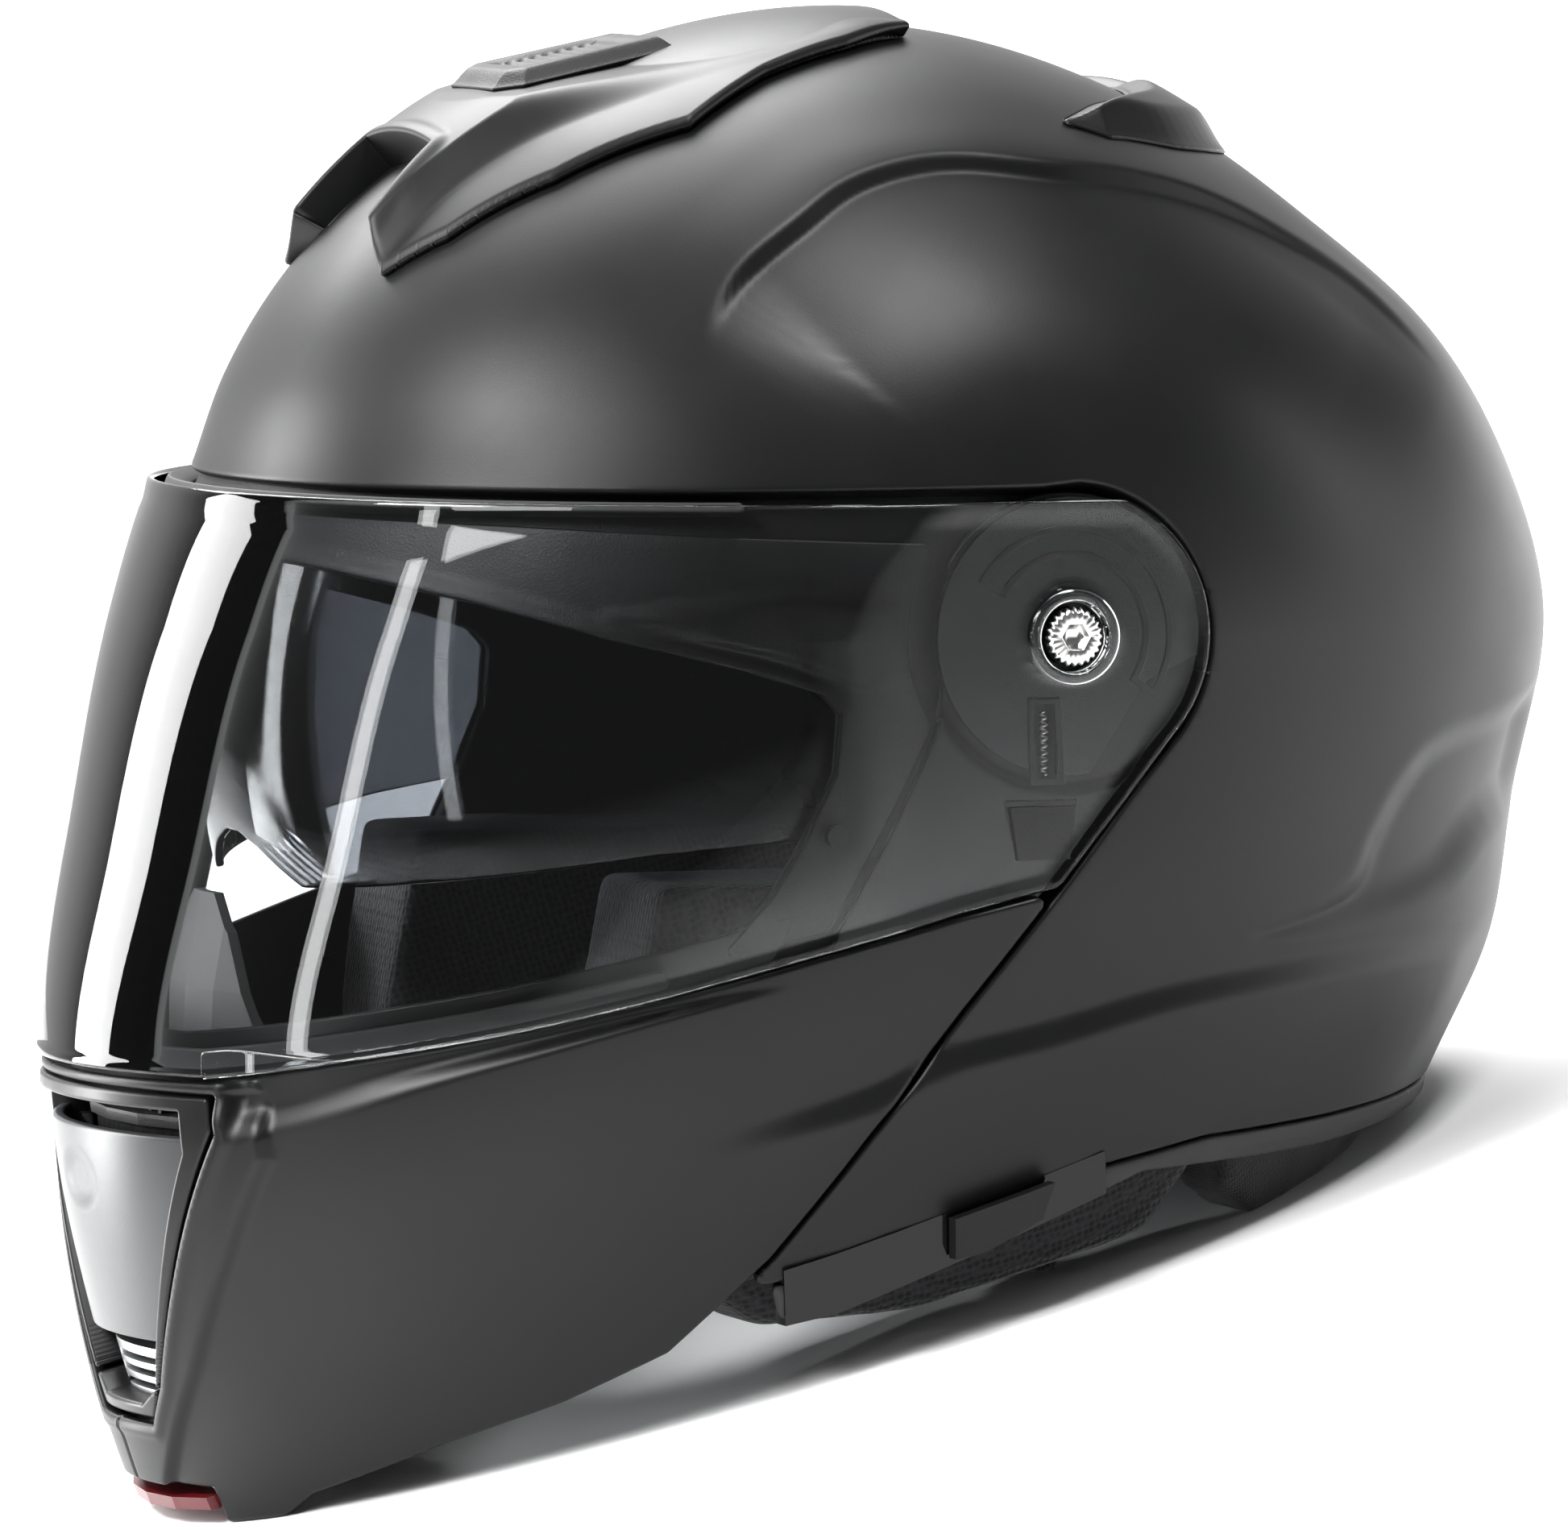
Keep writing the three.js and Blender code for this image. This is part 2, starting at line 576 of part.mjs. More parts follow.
function chinInnerCover() {
  const outline = [[-REACH, -110.6], [-100, -104], [-100, -150], [-150, -172], [-REACH, -175]];
  const wall = skin(face(23.8), face(26.2)).intersect(sidePlate(outline));
  const ledgeSide = [[-REACH, -111.6], [-100, -105.6], [-100, -103], [-REACH, -109]];
  const ledge = skin(face(9.6), face(26.2)).intersect(sidePlate(ledgeSide));
  const ribs = [-3, -2, -1, 1, 2, 3].map((step) => {
    const x = step * DEFROSTER_PITCH;
    return box(x - 1, x + 1, -172, -160, -108.3, -104.6);
  });
  return joined(wall, ledge, ...ribs);
}

function breathDeflector() {
  const outline = mirrored([[34, -106], [30, -88], [17, -68], [7, -60]]);
  return skin(face(26.8), face(29)).intersect(frontPlate(outline, -REACH, -120));
}

function lowerVisorSeal() {
  const band = [...moved(VISOR_EDGE.slice(0, 5), 0, 6), ...moved(VISOR_EDGE.slice(0, 5), 0, 1.5).reverse()];
  return skin(face(1.1), face(2.7)).intersect(sidePlate(band));
}

function chinCurtain() {
  const flap = [[-164, -183], [-120, -166], [-120, -168.4], [-164, -185.6]];
  return face(5).intersect(sidePlate(flap, -60, 60)).subtract(box(-24, 24, -REACH, -155, -REACH, 0));
}

function chinVentFrame() {
  const ring = frontPlate(VENT_OUTER).subtract(frontPlate(VENT_WINDOW));
  return skin(face(-0.8), face(9)).intersect(ring);
}

function chinVentCover() {
  return skin(face(1.6), face(4.2)).intersect(frontPlate(VENT_COVER));
}

function chinVentGrille() {
  const slots = [-162, -165, -168].map((z) => box(-14, 14, -REACH, -100, z - 0.7, z + 0.7));
  const bars = skin(face(5.6), face(8.4)).intersect(frontPlate(VENT_GRILLE));
  return without(bars, ...slots);
}

function chinTrim() {
  return skin(face(-0.6), face(2)).intersect(frontPlate(TRIM_WEDGE));
}

function releaseLever() {
  const tip = standLevel(LEVER_TIP_Y) + 4.4;
  const root = standLevel(LEVER_HINGE.y) + 3;
  const tongue = [[LEVER_TIP_Y, tip + 3], [LEVER_TIP_Y, tip], [LEVER_HINGE.y, root], [LEVER_HINGE.y, root + 3]];
  return sidePlate(tongue, -LEVER_HALF_WIDTH, LEVER_HALF_WIDTH).intersect(face(-1.5));
}

// ---------------------------------------------------------------- visor

function visorLens() {
  const outline = [
    [-REACH, BROW_LINE - 0.8], [-12, BROW_LINE - 0.8], ...arc(0, 0, DISC_RADIUS, 67, -40),
    [11.4, -36.5], ...VISOR_EDGE.slice().reverse(), [-REACH, -97.5],
  ];
  const panel = skin(face(-VISOR_PROUD), face(VISOR_INSIDE)).intersect(sidePlate(outline));
  const sides = [1, -1].map((side) => {
    const span = (from, to) => (side > 0 ? [from, to] : [-to, -from]);
    const disc = rod(DISC_RADIUS, ...span(...DISC_X), 0, 0, 36);
    const core = rod(DISC_RADIUS - 2, ...span(0, REACH), 0, 0, 36);
    const wall = rod(DISC_RADIUS, ...span(DISC_X[0], REACH), 0, 0, 36).subtract(core);
    const clear = rod(DISC_RADIUS - 1, ...span(0, REACH), 0, 0, 36);
    const hole = rod(HUB_RADIUS, ...span(0, REACH));
    return { add: disc.add(wall.intersect(face(-VISOR_PROUD))), clear, hole };
  });
  const tabProfile = [[-178, -97], [-178, -92.5], [-146, -86], [-146, -90.5]];
  const tabs = skin(face(-6), face(0)).intersect(sidePlate(tabProfile));
  const inner = tabs.subtract(box(-56, 56, -REACH, 0, -REACH, 0));
  const open = without(panel, ...sides.map((s) => s.clear));
  const whole = joined(open, ...sides.map((s) => s.add), inner);
  return without(whole, ...sides.map((s) => s.hole));
}

function pinlockPin() {
  const outer = surfaceX(PINLOCK.y, PINLOCK.z) - VISOR_INSIDE - 1.6;
  return rod(2.4, outer - 2, outer, PINLOCK.y, PINLOCK.z, 16);
}

// ---------------------------------------------------------------- sun visor

function sunVisor() {
  const outline = [
    [-9, -29], [-55, -44], [-85, -47.5], [-128, -55], [-147, -58.5], [-168, -60], [-168, 24],
    [-150, 24], [-70, 2], [-30, -8], [-8, -11.5], ...arc(SUN_HINGE.y, SUN_HINGE.z, 12, 100, -100, 8),
  ];
  const nose = frontPlate(mirrored([[32, -70], [30, -57.6], [14, -50], [4, -47]]), -REACH, -100);
  const holes = [rod(4.4, 0, REACH, SUN_HINGE.y, SUN_HINGE.z), rod(4.4, -REACH, 0, SUN_HINGE.y, SUN_HINGE.z)];
  const lens = skin(sunBody(0), sunBody(SUN_THICKNESS)).intersect(sidePlate(outline));
  return without(lens, nose, ...holes);
}

function sunVisorPivot() {
  const pin = rod(4, SUN_SIDE_X - 2.5, SUN_SIDE_X + 3.6, SUN_HINGE.y, SUN_HINGE.z, 24);
  return pin.add(rod(8, SUN_SIDE_X + 0.6, SUN_SIDE_X + 3.6, SUN_HINGE.y, SUN_HINGE.z, 24));
}

const RAIL = [[-59, -136.5], [-48, -133], [11, -112], [12.5, -121.5], [-46, -146.5], [-57, -149]];
const RAIL_SPACE = [[-64, -136], [-48, -131], [12, -110], [14.5, -122], [-46, -150], [-62, -153]];

function sliderRail() {
  return skin(face(-1), face(5)).intersect(sidePlate(RAIL, 0, REACH));
}

function sliderKnob() {
  const outline = [[-24, -125.5], [-2, -118], [-4, -126], [-16, -133], [-23, -134.5]];
  return skin(face(-6), face(-1.9)).intersect(sidePlate(outline, 0, REACH));
}

// ---------------------------------------------------------------- chin strap

const STRAP_X = 86;
const STRAP_HEM_Z = -141;
const STRAP_HALF_WIDTH = 12;
const STRAP_THICKNESS = 2.2;
const STRAP_END_Z = -92;

function chinStrap(endZ) {
  const hem = (offset) => [
    [STRAP_X + 1 - offset, -58], [STRAP_X + 1 - offset, STRAP_HEM_Z + offset],
    [PAD_INNER_X - 4 + offset, STRAP_HEM_Z + offset], [PAD_INNER_X - 4 + offset, endZ],
  ];
  const outline = [...hem(0), ...hem(STRAP_THICKNESS).reverse()];
  return frontPlate(outline, -STRAP_HALF_WIDTH, STRAP_HALF_WIDTH);
}

function strapAnchor() {
  return box(STRAP_X + 1.4, STRAP_X + 4.4, -9, 9, -72, -60);
}

function buckleBody() {
  const x = PAD_INNER_X - 4;
  const frame = box(x + 0.1, x + 3.6, -14, 14, STRAP_END_Z + 0.4, STRAP_END_Z + 26);
  return frame.subtract(box(x - 1, x + 1.6, -9, 9, STRAP_END_Z + 5, STRAP_END_Z + 30));
}

function buckleLever() {
  const x = PAD_INNER_X - 4;
  return box(x - 2, x - 0.3, -10, 10, STRAP_END_Z + 4, STRAP_END_Z + 25);
}

// ---------------------------------------------------------------- the pieces

addPiece("outer_shell", outerShell(), MATTE_BLACK);
addPiece("lower_trim", lowerTrim(), RUBBER);
addPiece("eyeport_frame", eyeportFrame(), BLACK_PLASTIC);
addPiece("brow_seal", browSeal(), RUBBER);
addPiece("eps_liner", epsLiner(), FOAM);
addPiece("crown_pad", crownPad(), FABRIC);
addPair("cheek_pad", cheekPad(), FABRIC);
addPiece("neck_roll", neckRoll(), FABRIC);
addPiece("top_vent_cover", topVentCover(), MATTE_BLACK);
addPiece("top_vent_slider", topVentSlider(), MATTE_BLACK);
addPiece("rear_vent_spoiler", rearVentSpoiler(), MATTE_BLACK);
addPair("pivot_bolt", pivotBolt(), STEEL);
addPair("striker_pin", strikerPin(), STEEL);
addPair("sun_visor_pivot", sunVisorPivot(), BLACK_PLASTIC);
addPiece("slider_rail", sliderRail(), GLOSS_BLACK);
addPair("chin_strap", chinStrap(STRAP_END_Z), WEBBING);
addPair("strap_anchor", strapAnchor(), STEEL);
addPiece("buckle_body", buckleBody(), STEEL);
addPiece("buckle_lever", buckleLever(), STEEL);

addPiece("chin_bar_shell", chinBarShell(), MATTE_BLACK);
addPiece("chin_bar_eps", chinBarEps(), FOAM);
addPiece("chin_bar_inner_cover", chinInnerCover(), BLACK_PLASTIC);
addPiece("breath_deflector", breathDeflector(), RUBBER);
addPiece("chin_curtain", chinCurtain(), FABRIC);
addPiece("chin_vent_frame", chinVentFrame(), BLACK_PLASTIC);
addPiece("chin_vent_cover", chinVentCover(), MATTE_BLACK);
addPiece("chin_vent_grille", chinVentGrille(), SILVER);
addPair("chin_trim", chinTrim(), BLACK_PLASTIC);
addPiece("lower_visor_seal", lowerVisorSeal(), RUBBER);
addPair("arm", armPlate(), BLACK_PLASTIC);
addPair("visor_base", visorBase(), BLACK_PLASTIC);
addPair("latch_spring", latchSpring(), STEEL);
addPair("visor_latch", visorLatch(), BLACK_PLASTIC);
addPair("lock_pawl", lockPawl(), STEEL);
addPiece("release_lever", releaseLever(), RED);

addPiece("visor_lens", visorLens(), CLEAR);
addPair("pinlock_pin", pinlockPin(), BLACK_PLASTIC);
addPiece("sun_visor", sunVisor(), SMOKED);
addPiece("sun_visor_slider", sliderKnob(), BLACK_PLASTIC);

// ---------------------------------------------------------------- onto its base

helmet.rotation.x = -STAND_TILT;
const bounds = new THREE.Box3().setFromObject(helmet, true);
const middle = bounds.getCenter(new THREE.Vector3());
helmet.position.set(-middle.x, -middle.y, -bounds.min.z);

const standing = new THREE.Group();
standing.add(helmet);

export default standing;
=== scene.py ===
"""Looks of the flip-up helmet: smooth shells, lenses, padding, studio light and the camera."""

import json
import math

import bpy
import numpy as np
from mathutils import Matrix, Vector

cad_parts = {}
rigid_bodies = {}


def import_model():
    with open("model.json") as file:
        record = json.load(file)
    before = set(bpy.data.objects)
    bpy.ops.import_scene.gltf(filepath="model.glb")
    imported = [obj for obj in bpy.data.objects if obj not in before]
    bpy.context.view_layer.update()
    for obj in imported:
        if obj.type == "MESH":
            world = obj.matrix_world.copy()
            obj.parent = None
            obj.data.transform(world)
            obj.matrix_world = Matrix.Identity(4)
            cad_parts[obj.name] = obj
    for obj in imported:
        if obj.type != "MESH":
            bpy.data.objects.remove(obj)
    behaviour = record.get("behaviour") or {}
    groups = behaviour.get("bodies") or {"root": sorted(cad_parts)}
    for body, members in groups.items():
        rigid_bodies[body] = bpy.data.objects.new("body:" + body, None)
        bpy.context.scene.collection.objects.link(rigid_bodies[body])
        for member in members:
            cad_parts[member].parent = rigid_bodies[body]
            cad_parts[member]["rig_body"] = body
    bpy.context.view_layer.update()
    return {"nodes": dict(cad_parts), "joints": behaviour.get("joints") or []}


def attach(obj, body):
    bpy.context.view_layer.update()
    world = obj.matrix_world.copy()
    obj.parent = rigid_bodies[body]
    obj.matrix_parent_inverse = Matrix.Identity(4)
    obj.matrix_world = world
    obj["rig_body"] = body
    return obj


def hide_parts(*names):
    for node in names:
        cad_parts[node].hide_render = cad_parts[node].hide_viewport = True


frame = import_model()
nodes = frame["nodes"]

# -------------------- driving dimensions (mm)
# Worn frame: the origin is the chin bar's pivot axis on the mid-plane, +X the wearer's left,
# +Y backwards, +Z up. The helmet stands tipped by STAND_TILT.

HALF_WIDTH = 129.0
CROWN = 129.4
CENTRE_Y = -8.0
ROUNDNESS = 2.1
CROWN_ROUNDNESS = 2.05
LOWEST = -215.0
TOP_SHARE = 0.9999
STAND_TILT = math.radians(17)
STAND_LEVEL = -196.0
STAND_Y = -158.0
REACH = 230.0
SIDES = ((1, "left"), (-1, "right"))

SHELL_SET_BACK = 0.7
SHELL_WALL = 3.4
RECESS_DEPTH = 8.4
RECESS_RIM_WALL = 7.6
RECESS_RIM_TAPER = 7.2
POD_RADIUS = 33.0
BROW_LINE = 30.0
FRAME_INSET = 6.4
SEAL_INSET = 2.2
TRIM_WALL = 5.5

CHIN_WALL = 3.5
CHIN_RIM_INSET = 6.2
CHIN_SEAL_INSET = 1.1
RIDGE_WIDTH = 7.0
RIDGE_START_WIDTH = 1.5
ARM_INSET = 3.9
ARM_DISC_X = 122.0

VISOR_PROUD = 1.5
VISOR_WALL = 2.0
TAB_PROUD = 2.2
DISC_RADIUS = 31.7
DISC_X = 126.8

SUN_HINGE_Z = -20.0
SUN_RADIUS = 151.0
SUN_HALF_WIDTH = 114.0
SUN_ROUNDNESS = 2.2
SUN_SIDE_X = 110.3
SUN_WALL = 2.0

LINER_INSET = 3.8
LINER_WALL = 33.5
LINER_LEAST_WALL = 6
LINER_FLANK = 92.0
SLIDE_SLOPE = 0.21

CAMERA = (3276.25, -1212.27, 219.76)
CAMERA_AZIMUTH = math.radians(70)
CAMERA_ELEVATION = math.radians(4.2)
LENS = 361.9
SENSOR_WIDTH = 36

# Studio, in metres of the row frame. The floor turns grey, and the room is dim, on the camera's side.
AIM = Vector((0, 0, 0.12))
FLOOR_REACH = 5.0
FLOOR_PALE = 0.9
FLOOR_GREY = 0.3
FLOOR_FADE_X = (0.3, 1.0)
BACKDROP_DIRECTION = (-0.94, 0.33, 0.05)
BACKDROP_EDGE = (0.5, 0.85)
BACKDROP_LIGHT = 1.0
ROOM_LIGHT = 0.13

FACE_FRONT = [
    (-215, -158), (-190, -168), (-150, -180), (-110, -187), (-90, -187), (-45, -179.5),
    (0, -169.5), (30, -159), (52, -146.5), (75, -131), (100, -104), (120, -60), (CROWN, CENTRE_Y),
]
SHELL_FRONT = [
    (-215, -158), (-110, -187), (-45, -179.5), (0, -166), (30, -152.5), (52, -144.5),
    (75, -130.5), (100, -104), (120, -60), (CROWN, CENTRE_Y),
]
REAR = [
    (-215, 50), (-130, 112), (-100, 127), (-75, 139.5), (-45, 145), (0, 153), (30, 144.5),
    (60, 127), (88, 95), (110, 63), (120, 41), (CROWN, CENTRE_Y),
]
LOWER_HALF_WIDTH = [(-215, 76), (-160, 102), (-130, 113), (-100, 121), (-60, 127), (0, HALF_WIDTH)]

# Side-view outlines, (y, z).
SEAM = [(13, -35), (-2, -54), (-23, -80), (-43, -107), (-61, -134), (-80, -156)]
VISOR_EDGE = [
    (-230, -97.5), (-172, -96), (-149, -91), (-118, -84), (-87, -76), (-59, -68), (-24, -58.5), (-3, -54),
]
SHELL_EDGE = [(-61, -140), (-24, -130), (12, -115), (37, -110), (70, -108), (120, -104), (230, -104)]
EYEPORT = [
    (-REACH, 18), (-163, 18), (-144, 13), (-120, 7), (-97, 0), (-69, -7), (-54, -12), (-50, -16),
    (-51, -29), (-57, -42), (-64, -55), (-74, -67), (-86, -100), (-86, -150), (-REACH, -REACH),
]

# -------------------- frames

pivot = next(j for j in frame["joints"] if j["name"] == "chin_bar_lift")["pos_m"]
TO_ROW = Matrix.Translation(pivot) @ Matrix.Rotation(-STAND_TILT, 4, "X") @ Matrix.Scale(0.001, 4)
TO_ROW_ARRAY = np.array(TO_ROW)


def to_row(points):
    points = np.asarray(points, float).reshape(-1, 3)
    return points @ TO_ROW_ARRAY[:3, :3].T + TO_ROW_ARRAY[:3, 3]


# -------------------- body surface

def latitude(level):
    level = np.asarray(level, float)
    return np.where(level > 0, np.arcsin(np.clip(level / CROWN, -1, 1)), level / CROWN)


def follow(pairs, level):
    """Smooth value at each level: a cubic through the pairs, measured along the latitude."""
    xs = latitude([p[0] for p in pairs])
    ys = np.array([p[1] for p in pairs], float)
    at = latitude(np.clip(level, pairs[0][0], pairs[-1][0]))
    slope = np.diff(ys) / np.diff(xs)
    step = np.diff(xs)
    inner = (slope[:-1] * step[1:] + slope[1:] * step[:-1]) / (step[:-1] + step[1:])
    tangent = np.concatenate([slope[:1], inner, slope[-1:]])
    i = np.clip(np.searchsorted(xs, at) - 1, 0, len(step) - 1)
    t = (at - xs[i]) / step[i]
    blend = t * t * (3 - 2 * t)
    rise = t * (1 - t) ** 2 * step[i]
    fall = t * t * (1 - t) * step[i]
    return ys[i] * (1 - blend) + ys[i + 1] * blend + rise * tangent[i] - fall * tangent[i + 1]


def half_width(level):
    level = np.asarray(level, float)
    upper = HALF_WIDTH * np.sqrt(np.clip(1 - np.clip(level / CROWN, 0, 1) ** CROWN_ROUNDNESS, 0, 1))
    return np.where(level > 0, upper, follow(LOWER_HALF_WIDTH, np.minimum(level, 0)))


def body_grid(outline, inset, columns, top_rows, low_rows, low=LOWEST):
    """The body set inwards by a distance, as rows of levels and columns of directions."""
    start = math.acos(TOP_SHARE)
    upper = CROWN * np.cos(np.linspace(start, math.pi / 2, top_rows + 1))
    lower = np.linspace(0, low, low_rows + 1)[1:]
    levels = np.concatenate([upper, lower])[:, None]
    angle = math.pi + 2 * math.pi * np.arange(columns)[None, :] / columns
    cos, sin = np.cos(angle), np.sin(angle)
    side = np.maximum(half_width(levels) - inset, 0)
    ahead = np.maximum(CENTRE_Y - follow(outline, levels) - inset, 0)
    behind = np.maximum(follow(REAR, levels) - CENTRE_Y - inset, 0)
    x = side * np.sign(cos) * np.abs(cos) ** (2 / ROUNDNESS)
    y = CENTRE_Y + np.where(sin < 0, ahead, behind) * np.sign(sin) * np.abs(sin) ** (2 / ROUNDNESS)
    z = np.where(levels > 0, levels * (CROWN - inset) / CROWN, levels) + 0 * angle
    return np.stack([x, y, z], -1)


def front_grid(inset, half, low, high, pitch):
    """The front of the body as a grid over width and level."""
    xs = np.arange(-half, half + pitch, pitch)
    zs = np.arange(high, low - pitch, -pitch)
    x, z = np.meshgrid(xs, zs)
    reach = CENTRE_Y - follow(FACE_FRONT, z) - inset
    share = np.clip(np.abs(x) / (half_width(z) - inset), 0, 0.995)
    y = CENTRE_Y - reach * (1 - share ** ROUNDNESS) ** (1 / ROUNDNESS)
    return np.stack([x, y, z], -1)


# -------------------- outlines as distances

def signed_distance(points, a, b):
    """Distance to a closed outline, positive inside."""
    a = np.asarray(a, float)
    b = np.asarray(b, float)
    best = np.full(a.shape, 1e9)
    inside = np.zeros(a.shape, bool)
    for (p0, q0), (p1, q1) in zip(points, points[1:] + points[:1]):
        dp, dq = p1 - p0, q1 - q0
        length = dp * dp + dq * dq
        if length < 1e-12:
            continue
        t = np.clip(((a - p0) * dp + (b - q0) * dq) / length, 0, 1)
        best = np.minimum(best, np.hypot(a - p0 - t * dp, b - q0 - t * dq))
        crosses = (q0 > b) != (q1 > b)
        with np.errstate(divide="ignore", invalid="ignore"):
            where = p0 + (b - q0) * dp / dq if dq else np.full(a.shape, 1e9)
        inside ^= crosses & (a < where)
    return np.where(inside, best, -best)


def line_distance(points, a, b):
    """Signed distance to an open line (positive on its left) and how far along it, 0 to 1."""
    best = np.full(np.shape(a), 1e9)
    signed = np.zeros(np.shape(a))
    along = np.zeros(np.shape(a))
    lengths = [math.dist(p, q) for p, q in zip(points, points[1:])]
    total = sum(lengths)
    done = 0.0
    for (p0, q0), (p1, q1), length in zip(points, points[1:], lengths):
        dp, dq = p1 - p0, q1 - q0
        t = np.clip(((a - p0) * dp + (b - q0) * dq) / length ** 2, 0, 1)
        d = np.hypot(a - p0 - t * dp, b - q0 - t * dq)
        side = np.sign(dp * (b - q0) - dq * (a - p0))
        closer = d < best
        best = np.where(closer, d, best)
        signed = np.where(closer, d * side, signed)
        along = np.where(closer, (done + t * length) / total, along)
        done += length
    return signed, along


def curved(points, steps=6):
    """A smooth line through the points."""
    p = [np.array(q, float) for q in points]
    p = [2 * p[0] - p[1]] + p + [2 * p[-1] - p[-2]]
    out = []
    for i in range(1, len(p) - 2):
        for k in range(steps):
            t = k / steps
            a = 2 * p[i]
            b = p[i + 1] - p[i - 1]
            c = 2 * p[i - 1] - 5 * p[i] + 4 * p[i + 1] - p[i + 2]
            d = -p[i - 1] + 3 * p[i] - 3 * p[i + 1] + p[i + 2]
            out.append(tuple(0.5 * (a + b * t + c * t * t + d * t ** 3)))
    out.append(tuple(p[-2]))
    return out


def arc(y, z, radius, start, end, steps=16):
    angles = np.radians(np.linspace(start, end, steps + 1))
    return [(y + radius * math.cos(t), z + radius * math.sin(t)) for t in angles]


def side_view(grid):
    return grid[..., 1], grid[..., 2]


def shifted(points, dy, dz):
    return [(y + dy, z + dz) for y, z in points]


def ease(x, low, high):
    t = np.clip((x - low) / (high - low), 0, 1)
    return t * t * (3 - 2 * t)


# -------------------- meshes

RIM_STEPS = 4


def mesh_object(name, vertices, faces):
    """A smooth-shaded object from worn-frame points."""
    mesh = bpy.data.meshes.new(name)
    mesh.from_pydata([tuple(v) for v in to_row(vertices)], [], faces)
    mesh.validate()
    mesh.update()
    mesh.polygons.foreach_set("use_smooth", [True] * len(mesh.polygons))
    obj = bpy.data.objects.new(name, mesh)
    bpy.context.scene.collection.objects.link(obj)
    return obj


def unit(vectors):
    return vectors / np.maximum(np.linalg.norm(vectors, axis=-1, keepdims=True), 1e-9)


def grid_normals(points, wrap):
    if wrap:
        across = np.roll(points, -1, 1) - np.roll(points, 1, 1)
    else:
        across = np.gradient(points, axis=1)
    return unit(np.cross(np.gradient(points, axis=0), across))


def grid_quads(rows, columns, wrap):
    """Corner numbers of a grid's cells. With wrap, the last column joins the first."""
    ids = np.arange(rows * columns).reshape(rows, columns)
    a, b = ids[:-1], ids[1:]
    if wrap:
        c, d = np.roll(b, -1, 1), np.roll(a, -1, 1)
    else:
        a, b, c, d = a[:, :-1], b[:, :-1], b[:, 1:], a[:, 1:]
    return np.stack([a, b, c, d], -1).reshape(-1, 4)


def trimmed(quads, value, fields):
    """Faces where value > 0, and fields with a row added for each point on the trimming line."""
    signs = (value[quads] > 0).sum(1)
    faces = [tuple(q) for q in quads[signs == 4].tolist()]
    extra = []
    cut_ids = {}

    def cut(i, j):
        key = (i, j) if i < j else (j, i)
        if key not in cut_ids:
            t = value[key[0]] / (value[key[0]] - value[key[1]])
            cut_ids[key] = len(fields) + len(extra)
            extra.append(fields[key[0]] * (1 - t) + fields[key[1]] * t)
        return cut_ids[key]

    for quad in quads[(signs > 0) & (signs < 4)].tolist():
        for triangle in ((quad[0], quad[1], quad[2]), (quad[0], quad[2], quad[3])):
            corners = []
            for i, j in zip(triangle, triangle[1:] + triangle[:1]):
                if value[i] > 0:
                    corners.append(i)
                if (value[i] > 0) != (value[j] > 0):
                    corners.append(cut(i, j))
            if len(corners) > 2:
                faces.append(tuple(corners))
    return faces, np.vstack([fields, extra]) if extra else fields


def border_of(faces):
    """Directed edges that belong to one face only."""
    edges = dict.fromkeys(pair for face in faces for pair in zip(face, face[1:] + face[:1]))
    return [(i, j) for i, j in edges if (j, i) not in edges]


def panel(name, points, inside, thickness, rim=0.8, wrap=True, lift=None):
    """A wall that follows a grid of points where inside > 0, with rounded edges all round.

    The wall's outer face is the grid itself, lifted by lift along its normals.
    """
    normals = grid_normals(points, wrap)
    if lift is not None:
        points = points + normals * lift[..., None]
        normals = grid_normals(points, wrap)
    depth = np.zeros(inside.shape) + thickness
    fields = np.concatenate([points, normals, depth[..., None]], -1).reshape(-1, 7)
    value = (inside - rim).reshape(-1)
    value = np.where(np.abs(value) < 1e-6, 1e-6, value)
    faces, fields = trimmed(grid_quads(*inside.shape, wrap), value, fields)
    used = np.unique(np.array([i for face in faces for i in face]))
    renumber = np.full(len(fields), -1)
    renumber[used] = np.arange(len(used))
    faces = [tuple(int(renumber[i]) for i in face) for face in faces]
    position, normal, depth = fields[used, :3], unit(fields[used, 3:6]), fields[used, 6:]
    inner = position - normal * depth
    border = border_of(faces)
    outward = np.zeros_like(position)
    for i, j in border:
        side = np.cross(position[j] - position[i], normal[i])
        outward[i] += side
        outward[j] += side
    outward = unit(outward)

    edge = sorted(set(i for pair in border for i in pair))
    turns = [math.pi / 2 * k / RIM_STEPS for k in range(1, RIM_STEPS + 1)]
    sections = [(position, math.sin(t), 1 - math.cos(t)) for t in turns]
    sections += [(inner, math.cos(t), math.sin(t) - 1) for t in [0] + turns[:-1]]
    total = len(position)
    vertices = [position, inner]
    rings = {i: [i] for i in edge}
    offset = 2 * total
    for base, out, down in sections:
        vertices.append(base[edge] + outward[edge] * rim * out - normal[edge] * (down * rim))
        for k, i in enumerate(edge):
            rings[i].append(offset + k)
        offset += len(edge)
    for i in edge:
        rings[i].append(total + i)
    walls = []
    for i, j in border:
        for k in range(len(rings[i]) - 1):
            walls.append((rings[j][k], rings[i][k], rings[i][k + 1], rings[j][k + 1]))
    back = [tuple(total + i for i in reversed(face)) for face in faces]
    return mesh_object(name, np.vstack(vertices), faces + walls + back)


def dress(obj, body, material, slot, *stands_for):
    """Gives a piece its look and the body that it moves with."""
    obj.data.materials.clear()
    obj.data.materials.append(material)
    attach(obj, body)
    if stands_for:
        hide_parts(*stands_for)


# -------------------- materials

